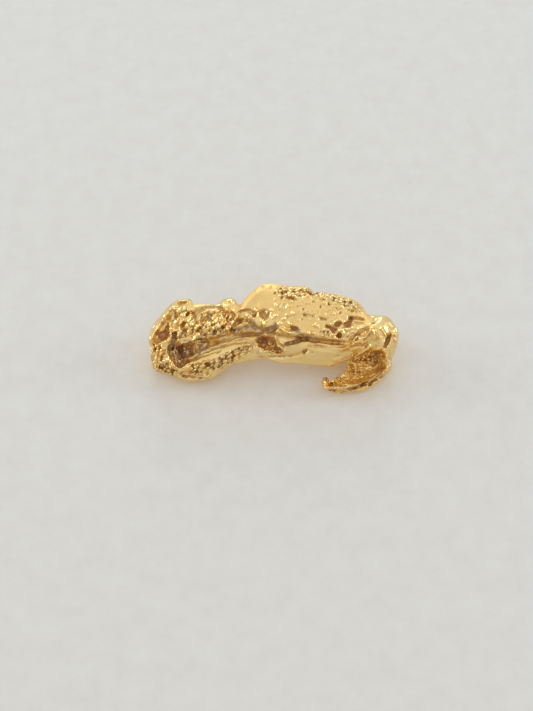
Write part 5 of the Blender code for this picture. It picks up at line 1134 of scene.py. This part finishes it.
# Each noise is given as its size in millimetres, its detail and its roughness.  The tarnish and painted
# shade vary in patches and again in the finest pimples, by up to these shares.
PATCHES, PATCH_SHIFT = (0.9, 4.0, 0.65), 0.08
PIMPLES, PIMPLE_SHIFT = (0.06, 3.0, 0.5), 0.07
NOISE_SPAN = 0.3, 0.7                       # the values between which most of a noise lies
SATIN_SHADE = 0.25                          # painted shade that a satin place has more, darkening the smooth plate
SEAM_SPAN, SEAM_PAINTED_SHADE = (0.4, 0.8), 0.15    # and painted shade at the edges of granules, from and to this distance

# Bump alone, as strength and height in millimetres: pimples everywhere, granules on rough ground.
PIMPLE_BUMP = 0.18, 0.015
GRANULE_SIZE, GRANULE_BUMP = 0.22, (0.28, 0.05)

STAIN_AND_SHADE_DIRT = 0.7                            # a full share of tarnish and painted shade counts as this much dirt
GOLD_ROUGHNESS = 0.24, 0.55                 # clean and dirty
RUBBED_GLOSS, SATIN_FROST = -0.07, 0.34     # what rubbing and satin add to the roughness
DIRT_AND_SHADE_SPAN, DIRT_AND_SHADE_METAL = (0.4, 1.0), 0.10    # dirt and painted shade cover the metal between these, down to this share

# noise value, colour: bluish, so that the lit floor comes out neutral under its painted glow
FLOOR_TONES = [
    (0.35, (0.40, 0.52, 0.59)),
    (0.65, (0.43, 0.56, 0.63)),
]
# a painted glow: the floor gives off a warm light of its own, which lightens and warms the shade around the
# nugget
FLOOR_PAINTED_GLOW, FLOOR_PAINTED_GLOW_STRENGTH = (1.0, 0.50, 0.17, 1.0), 0.25
FLOOR_MOTTLE, FLOOR_BUMP = (1.2, 6.0, 0.7), (0.40, 0.05)
FLOOR_ROUGHNESS, FLOOR_SPECULAR = 0.95, 0.1


def feed(node, inputs):
    """Gives each named input of a node a plain value, or a link from another node's output."""
    for socket, value in dict(inputs).items():
        if isinstance(value, bpy.types.NodeSocket):
            node.id_data.links.new(value, node.inputs[socket])
        else:
            node.inputs[socket].default_value = value


def add(tree, kind, output, settings=(), inputs=()):
    """One output of a new node, after its settings by property name and its inputs."""
    node = tree.nodes.new(kind)
    for key, value in dict(settings).items():
        setattr(node, key, value)
    feed(node, inputs)
    return node.outputs[output]


def maths(tree, operation, *terms, clamp=False):
    """A Math node's result; each term is a number or another node's output."""
    return add(tree, "ShaderNodeMath", 0, {"operation": operation, "use_clamp": clamp}, enumerate(terms))


def ranged(tree, value, span, ends):
    """The value carried from one span of numbers to another, and held at its ends."""
    return add(tree, "ShaderNodeMapRange", "Result", (), {
        "Value": value, "From Min": span[0], "From Max": span[1], "To Min": ends[0], "To Max": ends[1]})


def noise(tree, size, detail, roughness):
    """Cloudy noise about 0.5 of a size in millimetres, set in the object's own coordinates."""
    place = add(tree, "ShaderNodeTexCoord", "Object")
    return add(tree, "ShaderNodeTexNoise", "Fac", (), {
        "Vector": place, "Scale": 1 / (size * MM), "Detail": detail, "Roughness": roughness})


def bump(tree, height, strength_and_height, settings=(), under=()):
    """A normal tilted by a height, over the normal under it where there is one."""
    strength, distance = strength_and_height
    return add(tree, "ShaderNodeBump", "Normal", settings, {
        "Strength": strength, "Distance": distance * MM, "Height": height, **dict(under)})


def colour_ramp(tree, source, stops):
    """The colour that a value picks from stops of (place, colour)."""
    chosen = add(tree, "ShaderNodeValToRGB", "Color", (), {0: source})
    elements = chosen.node.color_ramp.elements
    while len(elements) < len(stops):
        elements.new(0.5)
    for element, (place, colour) in zip(elements, stops):
        element.position = place
        element.color = (*colour, 1.0)
    return chosen


def plain_material(name):
    """A new material, its node tree and its shader."""
    material = bpy.data.materials.new(name)
    material.use_nodes = True
    return material, material.node_tree, material.node_tree.nodes["Principled BSDF"]


def native_gold():
    """Pale metal where the skin is rubbed; brown and red-brown in its hollows, seams and creases and under
    its edges, partly dirt and red-brown stain and partly painted shade.
    """
    material, tree, shader = plain_material("native gold")
    tarnish_and_shade, rubbed, satin, grainy, earth_and_shade, rust_and_shade = (
        add(tree, "ShaderNodeAttribute", "Fac", {"attribute_name": mask})
        for mask in ("tarnish_and_shade", "rubbed", "satin", "grainy", "earth_and_shade", "rust_and_shade"))
    patches, pimples = noise(tree, *PATCHES), noise(tree, *PIMPLES)
    granules = add(tree, "ShaderNodeTexVoronoi", "Distance", (), {
        "Vector": add(tree, "ShaderNodeTexCoord", "Object"), "Scale": 1 / (GRANULE_SIZE * MM)})
    granules = maths(tree, "MULTIPLY", granules, grainy)

    # tarnish and painted shade, with more painted shade on satin places
    stain_and_shade = maths(tree, "MULTIPLY_ADD", satin, SATIN_SHADE, tarnish_and_shade)
    for clouds, shift in ((patches, PATCH_SHIFT), (pimples, PIMPLE_SHIFT)):
        stain_and_shade = maths(tree, "ADD", stain_and_shade, ranged(tree, clouds, NOISE_SPAN, (-shift, shift)))
    # painted shade at the edges of the granules
    stain_and_shade = maths(tree, "ADD", stain_and_shade, ranged(tree, granules, SEAM_SPAN, (0.0, SEAM_PAINTED_SHADE)), clamp=True)
    colour = colour_ramp(tree, stain_and_shade, GOLD_STAIN_AND_SHADE)
    # the red-brown and earth strokes, partly painted shade, laid over the metal
    for tone, cover in ((RUST_AND_SHADE_COLOUR, rust_and_shade), (EARTH_AND_SHADE_COLOUR, earth_and_shade)):
        colour = add(tree, "ShaderNodeMixRGB", "Color", (), {"Fac": cover, "Color1": colour, "Color2": tone})

    # dirt, partly painted shade, makes the metal duller and rougher
    dirt_and_shade = maths(tree, "MAXIMUM", earth_and_shade, rust_and_shade)
    dirt_and_shade = maths(tree, "MAXIMUM", dirt_and_shade, maths(tree, "MULTIPLY", stain_and_shade, STAIN_AND_SHADE_DIRT))
    finish = maths(tree, "ADD", ranged(tree, rubbed, (0.0, 1.0), (0.0, RUBBED_GLOSS)),
                   ranged(tree, satin, (0.0, 1.0), (0.0, SATIN_FROST)))
    pimpled = bump(tree, pimples, PIMPLE_BUMP)
    feed(shader, {
        "Base Color": colour,
        "Metallic": ranged(tree, dirt_and_shade, DIRT_AND_SHADE_SPAN, (1.0, DIRT_AND_SHADE_METAL)),
        "Roughness": maths(tree, "ADD", ranged(tree, dirt_and_shade, (0.0, 1.0), GOLD_ROUGHNESS), finish),
        "Normal": bump(tree, granules, GRANULE_BUMP, {"invert": True}, {"Normal": pimpled}),
    })
    return material


def pale_floor():
    """A plain matt pad, faintly uneven, with bluish tones and a painted warm glow of its own that lightens
    and warms the shade on it.
    """
    material, tree, shader = plain_material("pale floor")
    mottle = noise(tree, *FLOOR_MOTTLE)
    feed(shader, {
        "Base Color": colour_ramp(tree, mottle, FLOOR_TONES),
        "Roughness": FLOOR_ROUGHNESS,
        "Specular IOR Level": FLOOR_SPECULAR,
        # the painted glow
        "Emission Color": FLOOR_PAINTED_GLOW,
        "Emission Strength": FLOOR_PAINTED_GLOW_STRENGTH,
        "Normal": bump(tree, mottle, FLOOR_BUMP),
    })
    return material


# ---- the stage

FLOOR_SIZE = 0.6            # metres
# name, place and side in metres, power in watts; each lamp is a square that faces the nugget
LAMPS = [
    ("side lamp", (-0.203, 0.055, 0.065), 0.090, 0.150),
    ("back lamp", (-0.007, 0.205, 0.081), 0.080, 0.075),
    ("small lamp", (0.200, 0.030, 0.090), 0.080, 0.100),
]
LAMP_COLOUR = (1.0, 0.98, 0.95)
BRIGHT_WAY = (-0.2, 0.25, 0.95)         # the way to the brightest side of the room
# cosine of the angle from that way, and how bright the room is there
ROOM = [
    (0.00, (0.59, 0.58, 0.555)),
    (0.35, (0.72, 0.71, 0.69)),
    (0.70, (0.84, 0.83, 0.81)),
    (1.00, (0.90, 0.89, 0.87)),
]
LENS, SENSOR = 77.2, 36.0   # millimetres
CAMERA_REACH = 82.38        # millimetres from the lens to the point it looks at
CAMERA_AIM = (-0.4054, -0.8378)     # along and up, from the face's origin, of that point


def set_out(name, data):
    """A new object in the scene."""
    thing = bpy.data.objects.new(name, data)
    bpy.context.collection.objects.link(thing)
    return thing


def floor():
    """One square of floor at height 0."""
    half = FLOOR_SIZE / 2
    corners = [(-half, -half, 0), (half, -half, 0), (half, half, 0), (-half, half, 0)]
    mesh = bpy.data.meshes.new("floor")
    mesh.from_pydata(corners, [], [(0, 1, 2, 3)])
    mesh.materials.append(pale_floor())
    thing = set_out("floor", mesh)


def soft_light(name, place, side, power):
    """A square lamp that faces the origin."""
    lamp = bpy.data.lights.new(name, "AREA")
    lamp.shape = "SQUARE"
    lamp.size = side
    lamp.energy = power
    lamp.color = LAMP_COLOUR
    thing = set_out(name, lamp)
    thing.location = place
    thing.rotation_euler = (-Vector(place)).to_track_quat("-Z", "Y").to_euler()


def room():
    """The light of a plain room: bright overhead and a little behind, dimmer towards the ground."""
    world = bpy.data.worlds.new("room")
    bpy.context.scene.world = world
    world.use_nodes = True
    tree = world.node_tree
    way = add(tree, "ShaderNodeTexCoord", "Generated")
    side = add(tree, "ShaderNodeVectorMath", "Value", {"operation": "DOT_PRODUCT"},
               {0: way, 1: Vector(BRIGHT_WAY).normalized()})
    feed(tree.nodes["Background"], {"Color": colour_ramp(tree, side, ROOM)})


def camera(face_origin):
    """Looks straight at the broad face, at a point a little left of and below its origin."""
    sine, cosine = np.sin(FACE_TILT), np.cos(FACE_TILT)
    east, north, near = Vector((1, 0, 0)), Vector((0, sine, cosine)), Vector((0, -cosine, sine))
    aim = Vector(face_origin) + (east * CAMERA_AIM[0] + north * CAMERA_AIM[1]) * MM
    lens = bpy.data.cameras.new("camera")
    lens.lens = LENS
    lens.sensor_fit = "VERTICAL"
    lens.sensor_width = lens.sensor_height = SENSOR
    lens.clip_start = 1 * MM
    thing = set_out("camera", lens)
    thing.location = aim + near * CAMERA_REACH * MM
    thing.rotation_euler = (-near).to_track_quat("-Z", "Y").to_euler()
    bpy.context.scene.camera = thing


def main():
    """The nugget in its skin, then the floor, the room, the lamps and the camera."""
    skin, masks, place = nugget_skin()
    mesh = nugget_mesh("nugget_skin", skin, masks)
    mesh.materials.append(native_gold())
    nugget = set_out("nugget_skin", mesh)
    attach(nugget, "root")
    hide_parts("nugget")

    floor()
    room()
    for lamp in LAMPS:
        soft_light(*lamp)
    camera(place * MM)
    bpy.context.scene.view_settings.view_transform = "Standard"


main()
